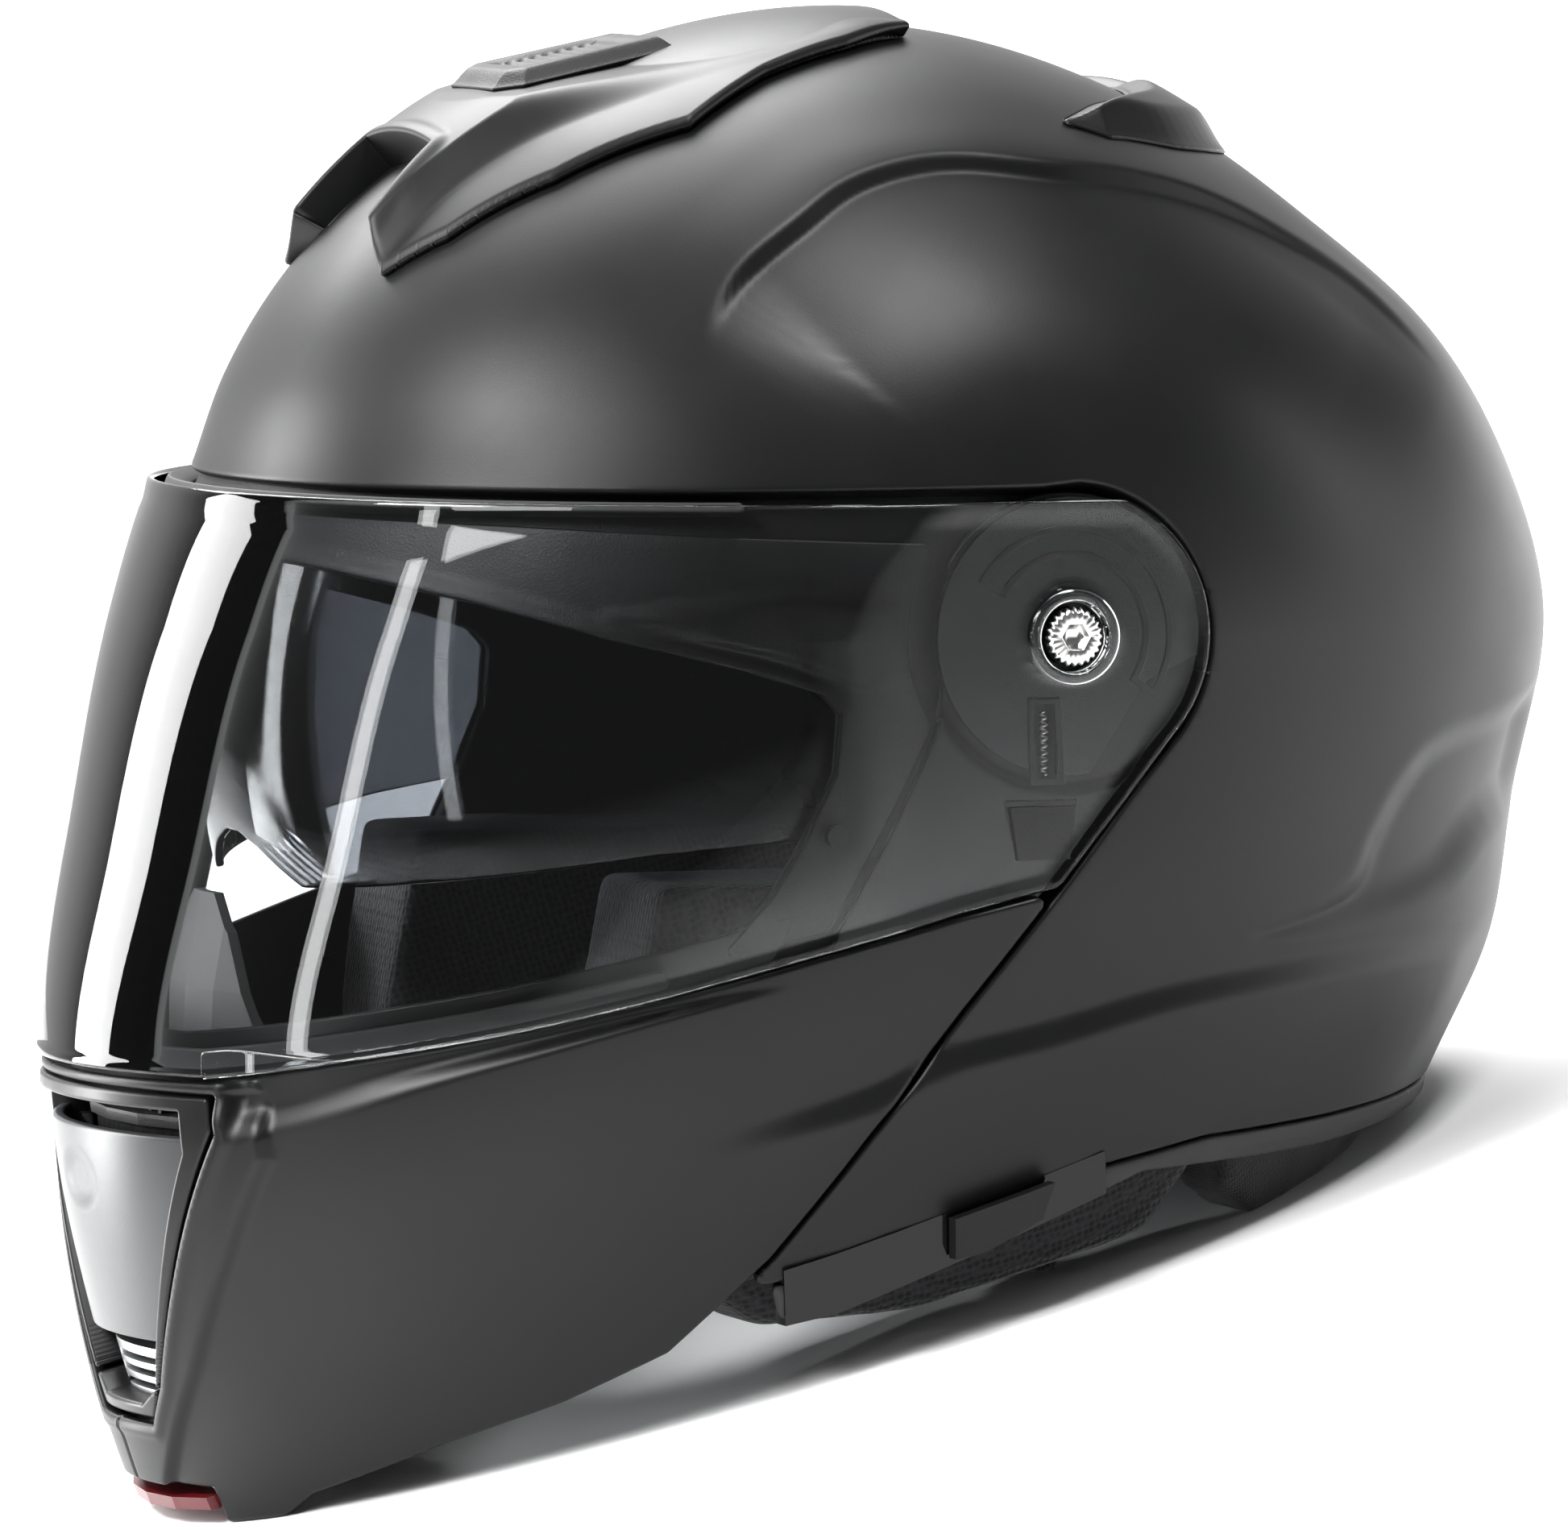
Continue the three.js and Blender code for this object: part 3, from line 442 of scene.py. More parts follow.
def new_material(name, color, roughness, metallic=0.0, **sockets):
    material = bpy.data.materials.new(name)
    material.use_nodes = True
    shader = material.node_tree.nodes["Principled BSDF"]
    shader.inputs["Base Color"].default_value = (*color, 1)
    shader.inputs["Roughness"].default_value = roughness
    shader.inputs["Metallic"].default_value = metallic
    for key, value in sockets.items():
        shader.inputs[key.replace("_", " ")].default_value = value
    return material


def add(material, kind, **values):
    node = material.node_tree.nodes.new(kind)
    for key, value in values.items():
        if key in node.inputs:
            node.inputs[key].default_value = value
        else:
            setattr(node, key, value)
    return node


def link(material, source, output, target, socket):
    material.node_tree.links.new(source.outputs[output], target.inputs[socket])


def set_range(node, from_range, to_range, interpolation="LINEAR"):
    """Sets a Map Range node to lead one range onto another."""
    node.interpolation_type = interpolation
    node.inputs["From Min"].default_value, node.inputs["From Max"].default_value = from_range
    node.inputs["To Min"].default_value, node.inputs["To Max"].default_value = to_range


def grained(material, scale, strength, distance, kind="noise"):
    """Fine relief in the object's own coordinates: noise grain, or cells."""
    shader = material.node_tree.nodes["Principled BSDF"]
    place = add(material, "ShaderNodeTexCoord")
    bump = add(material, "ShaderNodeBump", Strength=strength, Distance=distance)
    if kind == "noise":
        texture = add(material, "ShaderNodeTexNoise", Scale=scale, Detail=6.0)
        link(material, texture, "Fac", bump, "Height")
    else:
        texture = add(material, "ShaderNodeTexVoronoi", Scale=scale)
        link(material, texture, "Distance", bump, "Height")
    link(material, place, "Object", texture, "Vector")
    link(material, bump, "Normal", shader, "Normal")


def worn(material, low, high, scale):
    """Roughness that drifts slowly between two values: handling marks and uneven lacquer."""
    shader = material.node_tree.nodes["Principled BSDF"]
    place = add(material, "ShaderNodeTexCoord")
    texture = add(material, "ShaderNodeTexNoise", Scale=scale, Detail=8.0)
    spread = add(material, "ShaderNodeMapRange")
    set_range(spread, (0.3, 0.7), (low, high))
    link(material, place, "Object", texture, "Vector")
    link(material, texture, "Fac", spread, "Value")
    link(material, spread, "Result", shader, "Roughness")


SHELL = new_material("matte_black_lacquer", (0.003, 0.0032, 0.0035), 0.4, Specular_IOR_Level=0.3)
grained(SHELL, 2600, 0.16, 0.00012)
worn(SHELL, 0.36, 0.44, 22)

PLASTIC = new_material("grained_black_plastic", (0.0035, 0.0035, 0.004), 0.46, Specular_IOR_Level=0.3)
grained(PLASTIC, 1900, 0.35, 0.00012, "cells")
worn(PLASTIC, 0.42, 0.56, 40)

MOULDED = new_material("moulded_black_plastic", (0.003, 0.003, 0.0033), 0.34, Specular_IOR_Level=0.3)
grained(MOULDED, 1800, 0.12, 0.0001)
worn(MOULDED, 0.3, 0.42, 60)

GLOSS = new_material("gloss_black", (0.003, 0.003, 0.0033), 0.1, Specular_IOR_Level=0.4)
worn(GLOSS, 0.06, 0.14, 70)

RUBBER = new_material("black_rubber", (0.012, 0.012, 0.012), 0.6)
grained(RUBBER, 1200, 0.2, 0.0001)

STEEL = new_material("turned_steel", (0.78, 0.78, 0.77), 0.2, 1.0)
worn(STEEL, 0.14, 0.28, 300)

SILVER = new_material("satin_silver", (0.52, 0.53, 0.54), 0.34, 1.0)
grained(SILVER, 2500, 0.1, 0.00005)

GREY = new_material("grey_satin_plastic", (0.035, 0.037, 0.04), 0.33)
grained(GREY, 1700, 0.2, 0.0001)

RED = new_material("red_plastic", (0.11, 0.004, 0.007), 0.3)
grained(RED, 1500, 0.15, 0.0001)

FOAM = new_material("bead_foam", (0.008, 0.008, 0.0085), 0.85, Specular_IOR_Level=0.2)
grained(FOAM, 320, 0.7, 0.0006, "cells")


def fabric(name, color, mesh_scale, strength):
    """Knitted mesh over foam: a grid of small holes darkened with painted shade, and fibres that catch the
    light, brightened with a painted highlight.
    """
    material = new_material(
        name, color, 0.85, Sheen_Weight=0.2, Sheen_Roughness=0.45, Specular_IOR_Level=0.25)
    shader = material.node_tree.nodes["Principled BSDF"]
    place = add(material, "ShaderNodeTexCoord")
    holes = add(material, "ShaderNodeTexVoronoi", Scale=mesh_scale)
    holes.inputs["Randomness"].default_value = 0.35
    fibres = add(material, "ShaderNodeTexNoise", Scale=mesh_scale * 6, Detail=5.0)
    # Painted shade and painted highlight: the base colour goes from a quarter of the fabric's colour in the
    # holes to twice it on the fibres.
    shade = add(material, "ShaderNodeMapRange")
    set_range(shade, (0.15, 0.6), (0, 1))
    mix = add(material, "ShaderNodeMix", data_type="RGBA")
    mix.inputs["A"].default_value = (*[c * 0.25 for c in color], 1)
    mix.inputs["B"].default_value = (*[c * 2.0 for c in color], 1)
    deep = add(material, "ShaderNodeBump", Strength=strength, Distance=0.0006)
    fine = add(material, "ShaderNodeBump", Strength=0.35, Distance=0.0002)
    link(material, place, "Object", holes, "Vector")
    link(material, place, "Object", fibres, "Vector")
    link(material, holes, "Distance", shade, "Value")
    link(material, shade, "Result", mix, "Factor")
    link(material, mix, "Result", shader, "Base Color")
    link(material, holes, "Distance", deep, "Height")
    link(material, fibres, "Fac", fine, "Height")
    link(material, deep, "Normal", fine, "Normal")
    link(material, fine, "Normal", shader, "Normal")
    return material


MESH_FABRIC = fabric("mesh_fabric", (0.011, 0.011, 0.012), 620, 0.9)
SUEDE = fabric("brushed_suede", (0.013, 0.013, 0.014), 1400, 0.5)
WEBBING = fabric("woven_webbing", (0.016, 0.016, 0.017), 900, 1.0)


def clear(name, tint, roughness, ior=1.35):
    """A polished lens: see-through with a clean reflection, tinted by its own colour."""
    material = bpy.data.materials.new(name)
    material.use_nodes = True
    material.node_tree.nodes.remove(material.node_tree.nodes["Principled BSDF"])
    out = material.node_tree.nodes["Material Output"]
    through = add(material, "ShaderNodeBsdfTransparent")
    through.inputs["Color"].default_value = (*tint, 1)
    shine = add(material, "ShaderNodeBsdfGlossy")
    shine.inputs["Roughness"].default_value = roughness
    shine.inputs["Color"].default_value = (1, 1, 1, 1)
    facing = add(material, "ShaderNodeFresnel")
    facing.inputs["IOR"].default_value = ior
    mix = add(material, "ShaderNodeMixShader")
    link(material, facing, "Fac", mix, "Fac")
    link(material, through, "BSDF", mix, 1)
    link(material, shine, "BSDF", mix, 2)
    link(material, mix, "Shader", out, "Surface")
    return material


CLEAR = clear("clear_polycarbonate", (0.95, 0.96, 0.965), 0.015)
SMOKED = clear("smoked_polycarbonate", (0.4, 0.41, 0.43), 0.04, 1.3)


# -------------------- relief of the lacquered surfaces

ARCH = curved([
    (-75, 62), (-64, 77), (-47, 89), (-35, 96), (-21, 100), (-7, 101), (12, 99), (31, 97),
    (52, 92), (73, 83), (93, 71), (112, 51),
])
SCOOP = (
    curved([(190, -8), (135, -18), (100, -24), (86, -33), (77, -45), (70, -56), (46, -66)])
    + curved([(46, -67), (77, -66), (103, -60), (127, -47), (190, -36)])
)
SWOOSH = curved([
    (150, -62), (105, -69), (78, -70), (55, -72), (24, -76), (-5, -83), (-27, -88), (-44, -96), (-68, -104),
    (-90, -113),
])
RIDGE_TOP = curved([(-200, -112), (-170, -104), (-138, -92), (-108, -84), (-66, -74), (-30, -66)])
CHIN_PANEL = [(64, -100), (64, -113), (52, -135), (36, -161), (14, -189), (0, -215), (0, -60), (64, -60)]


def shell_relief(points):
    """Height of the styling lines over the smooth shell."""
    x, y, z = np.abs(points[..., 0]), points[..., 1], points[..., 2]
    beyond, along = line_distance(ARCH, y, z)
    below = -beyond
    ends = ease(along, 0.0, 0.12) * (1 - ease(along, 0.86, 1.0))
    flank = ease(x, 55, 78)
    arch = -1.9 * ease(below, -1.2, 1.6) * (1 - ease(below, 6, 46)) * ends * flank
    arch = arch + 0.7 * ease(below, -14, -0.5) * (1 - ease(below, -0.5, 1.4)) * ends * flank
    scoop = signed_distance(SCOOP, y, z)
    hollow = -3.4 * ease(scoop, -1.5, 9.0) * ease(x, 40, 60)
    return arch + hollow + swoosh(x, y, z)


def swoosh(x, y, z):
    """The long ledge that runs from the rear flank over the seam onto the chin bar."""
    over, along = line_distance(SWOOSH, y, z)
    ends = ease(along, 0.02, 0.3) * (1 - ease(along, 0.8, 1.0))
    height = 2.4 * ease(over, -1.0, 6.5) * (1 - ease(over, 10, 50))
    return height * ends * ease(x, 60, 84)


def chin_relief(points):
    """Height of the chin bar's ridge and its proud front panel."""
    x, y, z = np.abs(points[..., 0]), points[..., 1], points[..., 2]
    over, along = line_distance(RIDGE_TOP, y, z)
    width = RIDGE_START_WIDTH + (RIDGE_WIDTH - RIDGE_START_WIDTH) * ease(-y, 70, 165)
    above = np.maximum(0, over + width) / width
    step = -3.0 * ease(above, 0, 1) * ease(-y, 60, 100) * ease(x, 55, 60)
    front = signed_distance(CHIN_PANEL, x, z)
    proud = 2.0 * ease(front, -1.2, 1.2) * (y < -110) * ease(-z, 99, 106)
    return step + proud + swoosh(x, y, z)


# -------------------- shell

def recess(grow=0.0):
    return (
        [(-REACH, BROW_LINE + grow), (-6, BROW_LINE + 2 + grow)]
        + arc(0, 0, POD_RADIUS + grow, 85, -38)
        + shifted(SEAM, grow, 0)
        + [(-80 + grow, -REACH), (-REACH, -REACH)]
    )


ABOVE_SHELL_EDGE = [(-REACH, -140)] + SHELL_EDGE + [(REACH, 200), (-REACH, 200)]

crown_grid = body_grid(SHELL_FRONT, SHELL_SET_BACK, 520, 190, 210, low=-150)
side_y, side_z = side_view(crown_grid)
from_recess = -signed_distance(recess(), side_y, side_z)
from_edge = signed_distance(ABOVE_SHELL_EDGE, side_y, side_z)
inside = np.minimum(from_recess, from_edge)
forward = np.clip((CENTRE_Y - side_y) / 140, 0, 1)
# The edge of the recess is deep at the pod and thins out forwards, to clear the raised sun visor.
rim_wall = RECESS_RIM_WALL - RECESS_RIM_TAPER * forward ** 1.5
wall = SHELL_WALL + rim_wall * (1 - ease(from_recess, 1.6, 3.0))
shell = panel("shell_outer", crown_grid, inside, wall, rim=1.1, lift=shell_relief(crown_grid))
dress(shell, "shell", SHELL, "matte_black_shell", "outer_shell")

floor_grid = body_grid(FACE_FRONT, RECESS_DEPTH, 360, 90, 130, low=-150)
side_y, side_z = side_view(floor_grid)
pod = np.hypot(side_y, side_z)
floor_in = np.minimum(signed_distance(recess(4), side_y, side_z), -signed_distance(EYEPORT, side_y, side_z))
floor_in = np.minimum(floor_in, signed_distance(ABOVE_SHELL_EDGE, side_y, side_z))
sunk = np.sign(floor_grid[..., 0]) * np.minimum(np.abs(floor_grid[..., 0]), 118)
floor_grid[..., 0] = np.where(pod < 37, sunk, floor_grid[..., 0])
recess_floor = panel("shell_recess", floor_grid, floor_in, 3.0, rim=0.6)
dress(recess_floor, "shell", PLASTIC, "matte_black_shell")

# -------------------- frame, seals and trim on the shell

FRAME_BORDER = [
    (-REACH, 27), (-114, 24), (-74, 22), (-24, 20), (-25, 14), (-28, 6), (-28, -15), (-37, -34),
    (-52, -63), (-75, -69), (-REACH, -69),
]
frame_grid = body_grid(FACE_FRONT, FRAME_INSET, 480, 120, 200, low=-120)
side_y, side_z = side_view(frame_grid)
edge = signed_distance(FRAME_BORDER, side_y, side_z)
port = -signed_distance(EYEPORT, side_y, side_z)
pod = np.hypot(side_y, side_z) - 35.3
frame_in = np.minimum(np.minimum(edge, port), pod)
WING = [(-98, 5), (-60, 10), (-40, 7), (-34, -8), (-44, -11), (-62, -4), (-80, 0)]
wing = signed_distance(WING, side_y, side_z)
frame_lift = 0.9 * (1 - ease(port, 1.5, 4.0))
frame_lift = frame_lift + 1.1 * ease(wing, -0.8, 1.0) * (np.abs(frame_grid[..., 0]) > 60)
frame_lift = np.minimum(frame_lift, 1.2)
piece = panel("eyeport_frame_moulding", frame_grid, frame_in, 1.7, rim=0.5, lift=frame_lift)
dress(piece, "shell", PLASTIC, "black_plastic", "eyeport_frame")

seal_grid = body_grid(FACE_FRONT, SEAL_INSET, 420, 200, 10, low=-5)
side_y, side_z = side_view(seal_grid)
seal_in = signed_distance([(-REACH, 29.6), (-70, 29.6), (-70, 27.3), (-REACH, 27.3)], side_y, side_z)
piece = panel("brow_seal_strip", seal_grid, seal_in, 5.6, rim=0.5)
dress(piece, "shell", RUBBER, "rubber", "brow_seal")

TRIM_EDGE = [(-58, -149), (-24, -137), (-1, -127), (22, -117.5), (70, -115), (122, -109), (REACH, -109)]
trim_grid = body_grid(SHELL_FRONT, SHELL_SET_BACK, 520, 12, 300, low=-160)
side_y, side_z = side_view(trim_grid)
trim_outline = shifted(SHELL_EDGE, 0, -0.3) + TRIM_EDGE[::-1]
trim_in = signed_distance(trim_outline, side_y, side_z)
trim_lift = -0.4 + 1.4 * np.sqrt(np.clip(trim_in / 4.0, 0, 1))
piece = panel("lower_trim_roll", trim_grid, trim_in, TRIM_WALL, rim=0.9, lift=trim_lift)
dress(piece, "shell", RUBBER, "rubber", "lower_trim")

# -------------------- chin bar


def stand_level(y):
    """Level of the ground that the tipped helmet stands on."""
    return STAND_LEVEL + (y - STAND_Y) * math.tan(STAND_TILT)


CHIN_EDGE = [(-81, -155), (-101, -166), (-124, -176), (-146, -188)]
chin_outline = (
    shifted(VISOR_EDGE[:-1], 0, -0.9) + [(-4, -55)] + shifted(SEAM[2:5], -1, 0) + CHIN_EDGE
    + [(-150, stand_level(-150)), (-REACH, stand_level(-REACH))]
)
VENT_OUTER = [(54, -100.5), (54, -108), (24, -165), (17, -174)]
VENT_WINDOW = [(46, -104), (46, -113), (20.5, -167), (13, -171)]
VENT_COVER = [(44.4, -110), (44.4, -113.5), (23.6, -156.5)]
VENT_GRILLE = [(21, -159), (19.4, -166.5), (12.4, -170.2)]
TRIM_WEDGE = [(56, -108.5), (61, -113), (59.5, -118), (28, -166), (26.4, -166)]


def both_sides(points):
    return points + [(-x, z) for x, z in points[::-1]]


chin_grid = body_grid(FACE_FRONT, 0.0, 720, 8, 420)
x, side_y, side_z = chin_grid[..., 0], chin_grid[..., 1], chin_grid[..., 2]
chin_in = signed_distance(chin_outline, side_y, side_z)
vent = np.where(side_y < -60, signed_distance(both_sides(VENT_OUTER), x, side_z), -50)
notch = signed_distance([(-27, -188.6), (27, -188.6), (27, -215), (-27, -215)], x, side_z)
notch = np.where(side_y < -100, notch, -50)
chin_in = np.minimum(np.minimum(chin_in, -vent - 0.3), -notch)
lip = 0.6 * np.exp(-((chin_in - 2.2) / 1.3) ** 2) * (vent > -9)
relief = chin_relief(chin_grid) + lip
piece = panel("chin_bar_outer", chin_grid, chin_in, CHIN_WALL, rim=1.0, lift=relief)
dress(piece, "chin_bar", SHELL, "matte_black_shell", "chin_bar_shell")

rim_grid = body_grid(FACE_FRONT, CHIN_RIM_INSET, 480, 8, 260, low=-130)
side_y, side_z = side_view(rim_grid)
rim_band = shifted(VISOR_EDGE[:6], 0, 9) + [(-66, -75)] + shifted(VISOR_EDGE[:5], 0, -7)[::-1]
rim_in = signed_distance(rim_band, side_y, side_z)
piece = panel("chin_bar_rim", rim_grid, rim_in, 2.2, rim=0.6)
dress(piece, "chin_bar", MOULDED, "matte_black_shell")

strip_grid = body_grid(FACE_FRONT, CHIN_SEAL_INSET, 480, 8, 300, low=-110)
side_y, side_z = side_view(strip_grid)
band = shifted(VISOR_EDGE[:5], 0, 6) + shifted(VISOR_EDGE[:5], 0, 1.5)[::-1]
piece = panel("lower_visor_seal_lip", strip_grid, signed_distance(band, side_y, side_z), 1.6, rim=0.5)
dress(piece, "chin_bar", RUBBER, "rubber", "lower_visor_seal")

vent_grid = front_grid(-0.8, 62, -182, -92, 0.5)
x, z = vent_grid[..., 0], vent_grid[..., 2]
outer = signed_distance(both_sides(VENT_OUTER), x, z)
window = signed_distance(both_sides(VENT_WINDOW), x, z)
piece = panel("chin_vent_surround", vent_grid, np.minimum(outer, -window), 9.8, rim=0.9, wrap=False)
dress(piece, "chin_bar", MOULDED, "black_plastic", "chin_vent_frame")

cover_grid = front_grid(1.6, 50, -160, -106, 0.5)
x, z = cover_grid[..., 0], cover_grid[..., 2]
cover = signed_distance(both_sides(VENT_COVER), x, z)
grip = -0.9 * ease(8 - np.hypot(x / 1.6, z + 122), 0, 5)
piece = panel("chin_vent_flap", cover_grid, cover, 2.6, rim=0.7, wrap=False, lift=grip)
dress(piece, "chin_vent_cover", GREY, "black_plastic", "chin_vent_cover")

grille_grid = front_grid(5.6, 24, -173, -157, 0.3)
x, z = grille_grid[..., 0], grille_grid[..., 2]
bars = signed_distance(both_sides(VENT_GRILLE), x, z)
for level in (-162, -165, -168):
    slot = np.minimum(14 - np.abs(x), 0.7 - np.abs(z - level))
    bars = np.minimum(bars, -slot)
piece = panel("chin_vent_bars", grille_grid, bars, 2.8, rim=0.25, wrap=False)
dress(piece, "chin_bar", SILVER, "silver", "chin_vent_grille")

wedge_grid = front_grid(-0.6, 64, -170, -104, 0.35)
x, z = wedge_grid[..., 0], wedge_grid[..., 2]
ribs = 0.35 * np.sin(z * 2.4 + np.abs(x) * 0.8)
for side, label in SIDES:
    wedge = signed_distance([(side * a, b) for a, b in TRIM_WEDGE], x, z)
    wedge_lift = ribs * ease(wedge, 0.4, 1.4)
    piece = panel(f"chin_wedge_{label}", wedge_grid, wedge, 2.6, rim=0.5, wrap=False, lift=wedge_lift)
    dress(piece, "chin_bar", MOULDED, "black_plastic", f"chin_trim_{label}")

# -------------------- clear visor

visor_outline = (
    [(-REACH, BROW_LINE - 0.8), (-12, BROW_LINE - 0.8)] + arc(0, 0, DISC_RADIUS, 67, -40, 30)
    + [(11.4, -36.5)] + VISOR_EDGE[::-1] + [(-REACH, -97.5)]
)
visor_grid = body_grid(FACE_FRONT, -VISOR_PROUD, 640, 90, 260, low=-110)
side_y, side_z = side_view(visor_grid)
visor_in = signed_distance(visor_outline, side_y, side_z)
hub = np.hypot(side_y, side_z)
visor_in = np.minimum(visor_in, hub - 7.5)
flat = np.sign(visor_grid[..., 0]) * np.minimum(np.abs(visor_grid[..., 0]), DISC_X)
near = ease(side_y, -70, -34)
visor_grid[..., 0] = visor_grid[..., 0] * (1 - near) + flat * near
bead = 0.5 * (1 - ease(visor_in, 1.6, 3.4))
piece = panel("visor_shield", visor_grid, visor_in, VISOR_WALL, rim=0.9, lift=bead)
dress(piece, "visor", CLEAR, "clear_lens", "visor_lens")

tab_grid = body_grid(FACE_FRONT, -TAB_PROUD, 720, 4, 300, low=-110)
x, side_y, side_z = tab_grid[..., 0], tab_grid[..., 1], tab_grid[..., 2]
under_edge = np.interp(side_y, [p[0] for p in VISOR_EDGE], [p[1] for p in VISOR_EDGE])
for side, label in SIDES:
    across = np.minimum(side * x - 56, 84 - side * x)
    height = 5.5 * ease(84 - side * x, 0, 24) + 0.6
    tab = np.minimum(across, np.minimum(side_z - under_edge - 0.2, under_edge + height - side_z))
    tab = np.where(side_y < -60, tab, -50)
    tab_lift = 2.6 * ease(84 - side * x, 0, 22)
    piece = panel(f"visor_tab_{label}", tab_grid, tab, 1.0, rim=0.4, lift=tab_lift)
    dress(piece, "visor", CLEAR, "clear_lens")

# -------------------- sun visor

SUN_EDGE = [
    (-9, -29), (-55, -44), (-85, -47.5), (-128, -55), (-147, -58.5), (-168, -60), (-168, 24),
    (-150, 24), (-70, 2), (-30, -8), (-8, -11.5),
] + [(12 * math.cos(t), SUN_HINGE_Z + 12 * math.sin(t)) for t in np.radians(np.linspace(100, -100, 9))]
SUN_NOSE = [(32, -70), (30, -57.6), (14, -50), (4, -47)]


def sun_reach(x, inset=0.0):
    """Distance of the barrel-shaped sun visor from its hinge axis at a width."""
    share = np.clip(np.abs(x) / (SUN_HALF_WIDTH - inset), 0, 1)
    return (SUN_RADIUS - inset) * np.clip(1 - share ** SUN_ROUNDNESS, 0, 1) ** (1 / SUN_ROUNDNESS)


def sun_grid():
    """From one hinge flank over the front to the other, as rows over the turn about the hinge."""
    edge_reach = float(sun_reach(SUN_SIDE_X))
    flank = np.linspace(0.5, edge_reach, 60)
    widths = np.sin(np.linspace(-1, 1, 320) * math.asin(1) * 0.985)
    widths = widths / widths[-1] * SUN_SIDE_X
    xs = np.concatenate([np.full(60, -SUN_SIDE_X), widths[1:-1], np.full(60, SUN_SIDE_X)])
    reach = np.concatenate([flank, sun_reach(widths)[1:-1], flank[::-1]])
    turns = np.radians(np.linspace(120, 215, 260))[:, None]
    x = xs[None, :] + 0 * turns
    y = reach[None, :] * np.cos(turns)
    z = SUN_HINGE_Z + reach[None, :] * np.sin(turns)
    return np.stack([x, y, z], -1)


grid = sun_grid()
x, side_y, side_z = grid[..., 0], grid[..., 1], grid[..., 2]
sun_in = signed_distance(SUN_EDGE, side_y, side_z)
nose = np.where(side_y < -100, signed_distance(both_sides(SUN_NOSE), x, side_z), -50)
sun_in = np.minimum(sun_in, -nose)
piece = panel("sun_visor_lens", grid, sun_in, SUN_WALL, rim=0.7, wrap=False)
dress(piece, "sun_visor", SMOKED, "smoked_lens", "sun_visor")

# -------------------- top vent and rear spoiler


def slide_line(y):
    return 114.8 + SLIDE_SLOPE * (y + 92)


def crown_height(x, y):
    """Level of the shell over a point in plan, found by halving."""
    low = np.full(np.shape(x), 20.0)
    high = np.full(np.shape(x), CROWN - 0.01)
    for _ in range(26):
        middle = (low + high) / 2
        side = half_width(middle) - SHELL_SET_BACK
        front = CENTRE_Y - follow(SHELL_FRONT, middle) - SHELL_SET_BACK
        behind = follow(REAR, middle) - CENTRE_Y - SHELL_SET_BACK
        reach = np.where(y < CENTRE_Y, front, behind)
        span = np.abs(x / np.maximum(side, 1e-3)) ** ROUNDNESS
        span = span + np.abs((y - CENTRE_Y) / np.maximum(reach, 1e-3)) ** ROUNDNESS
        inside_now = span < 1
        low = np.where(inside_now, middle, low)
        high = np.where(inside_now, high, middle)
    return low * (CROWN - SHELL_SET_BACK) / CROWN


HOOD_PLAN = [(34, -126), (44, -114), (53, -92), (58, -62), (46, -40), (38, -18), (28, 0)]
HOOD_PROFILE = curved([
    (-127, 88), (-121, 95), (-113, 103.5), (-95, slide_line(-95)), (-60, slide_line(-60)),
    (-27, slide_line(-27)), (-12, 131), (2, 130.5),
], 5)


def plan_grid(x_low, x_high, y_low, y_high, pitch):
    xs = np.arange(x_low, x_high + pitch, pitch)
    ys = np.arange(y_high, y_low - pitch, -pitch)
    return np.meshgrid(xs, ys)


plan_x, plan_y = plan_grid(-60, 60, -128, 4, 0.55)
base = crown_height(plan_x, plan_y)
plan_in = signed_distance(both_sides(HOOD_PLAN), plan_x, plan_y)
profile_y = np.array([p[0] for p in HOOD_PROFILE])
profile_z = np.array([p[1] for p in HOOD_PROFILE])
ridge = np.interp(plan_y, profile_y, profile_z)
centre_drop = 0.0011 * plan_x ** 2 + 0.000012 * np.abs(plan_x) ** 3
core = ridge - centre_drop
flange = base + 2.6 * ease(plan_in, 0, 1.6) + 1.2
wide = 27 + 9 * ease(plan_y, -118, -60) - 8 * ease(plan_y, -45, 0)
shoulder = ease(wide - np.abs(plan_x), -7, 4)
top = np.maximum(flange, core * shoulder + flange * (1 - shoulder))
top = np.minimum(top, base + 10.5)
mouth = signed_distance([(-27, -140), (-22, -110.5), (22, -110.5), (27, -140)], plan_x, plan_y)
lip = 1.5 * (1 - ease(-mouth, 1.5, 5.5)) * (plan_y < -100)
plan_in = np.minimum(plan_in, -mouth)
hood_points = np.stack([plan_x, plan_y, top + lip], -1)
hood_wall = np.clip(top - base - 0.2, 1.2, 12)
piece = panel("top_vent_hood", hood_points, plan_in, hood_wall, rim=0.9, wrap=False)
dress(piece, "shell", SHELL, "matte_black_shell", "top_vent_cover")

slide_x, slide_y = plan_grid(-21, 21, -93, -51, 0.35)
slide_outline = [(-21, -88), (-14, -93), (14, -93), (21, -88), (18, -51), (-18, -51)]
slide_in = signed_distance(slide_outline, slide_x, slide_y)
slide_top = slide_line(slide_y) + 0.5 + 3.4 * ease(slide_in, -0.5, 4.5)
hollow = -1.3 * ease(13 - np.abs(slide_x), 0, 4) * ease(slide_y, -86, -82) * ease(-58 - slide_y, 0, 4)
ribs = 0.35 * np.sin(slide_y * 2.2) * ease(11 - np.abs(slide_x), 0, 1.5)
slide_top = slide_top + hollow + ribs * (np.abs(slide_y + 71) < 11)
slide_points = np.stack([slide_x, slide_y, slide_top], -1)
piece = panel("top_vent_button", slide_points, slide_in, 1.2, rim=0.3, wrap=False)
dress(piece, "top_vent_slider", PLASTIC, "matte_black_shell", "top_vent_slider")

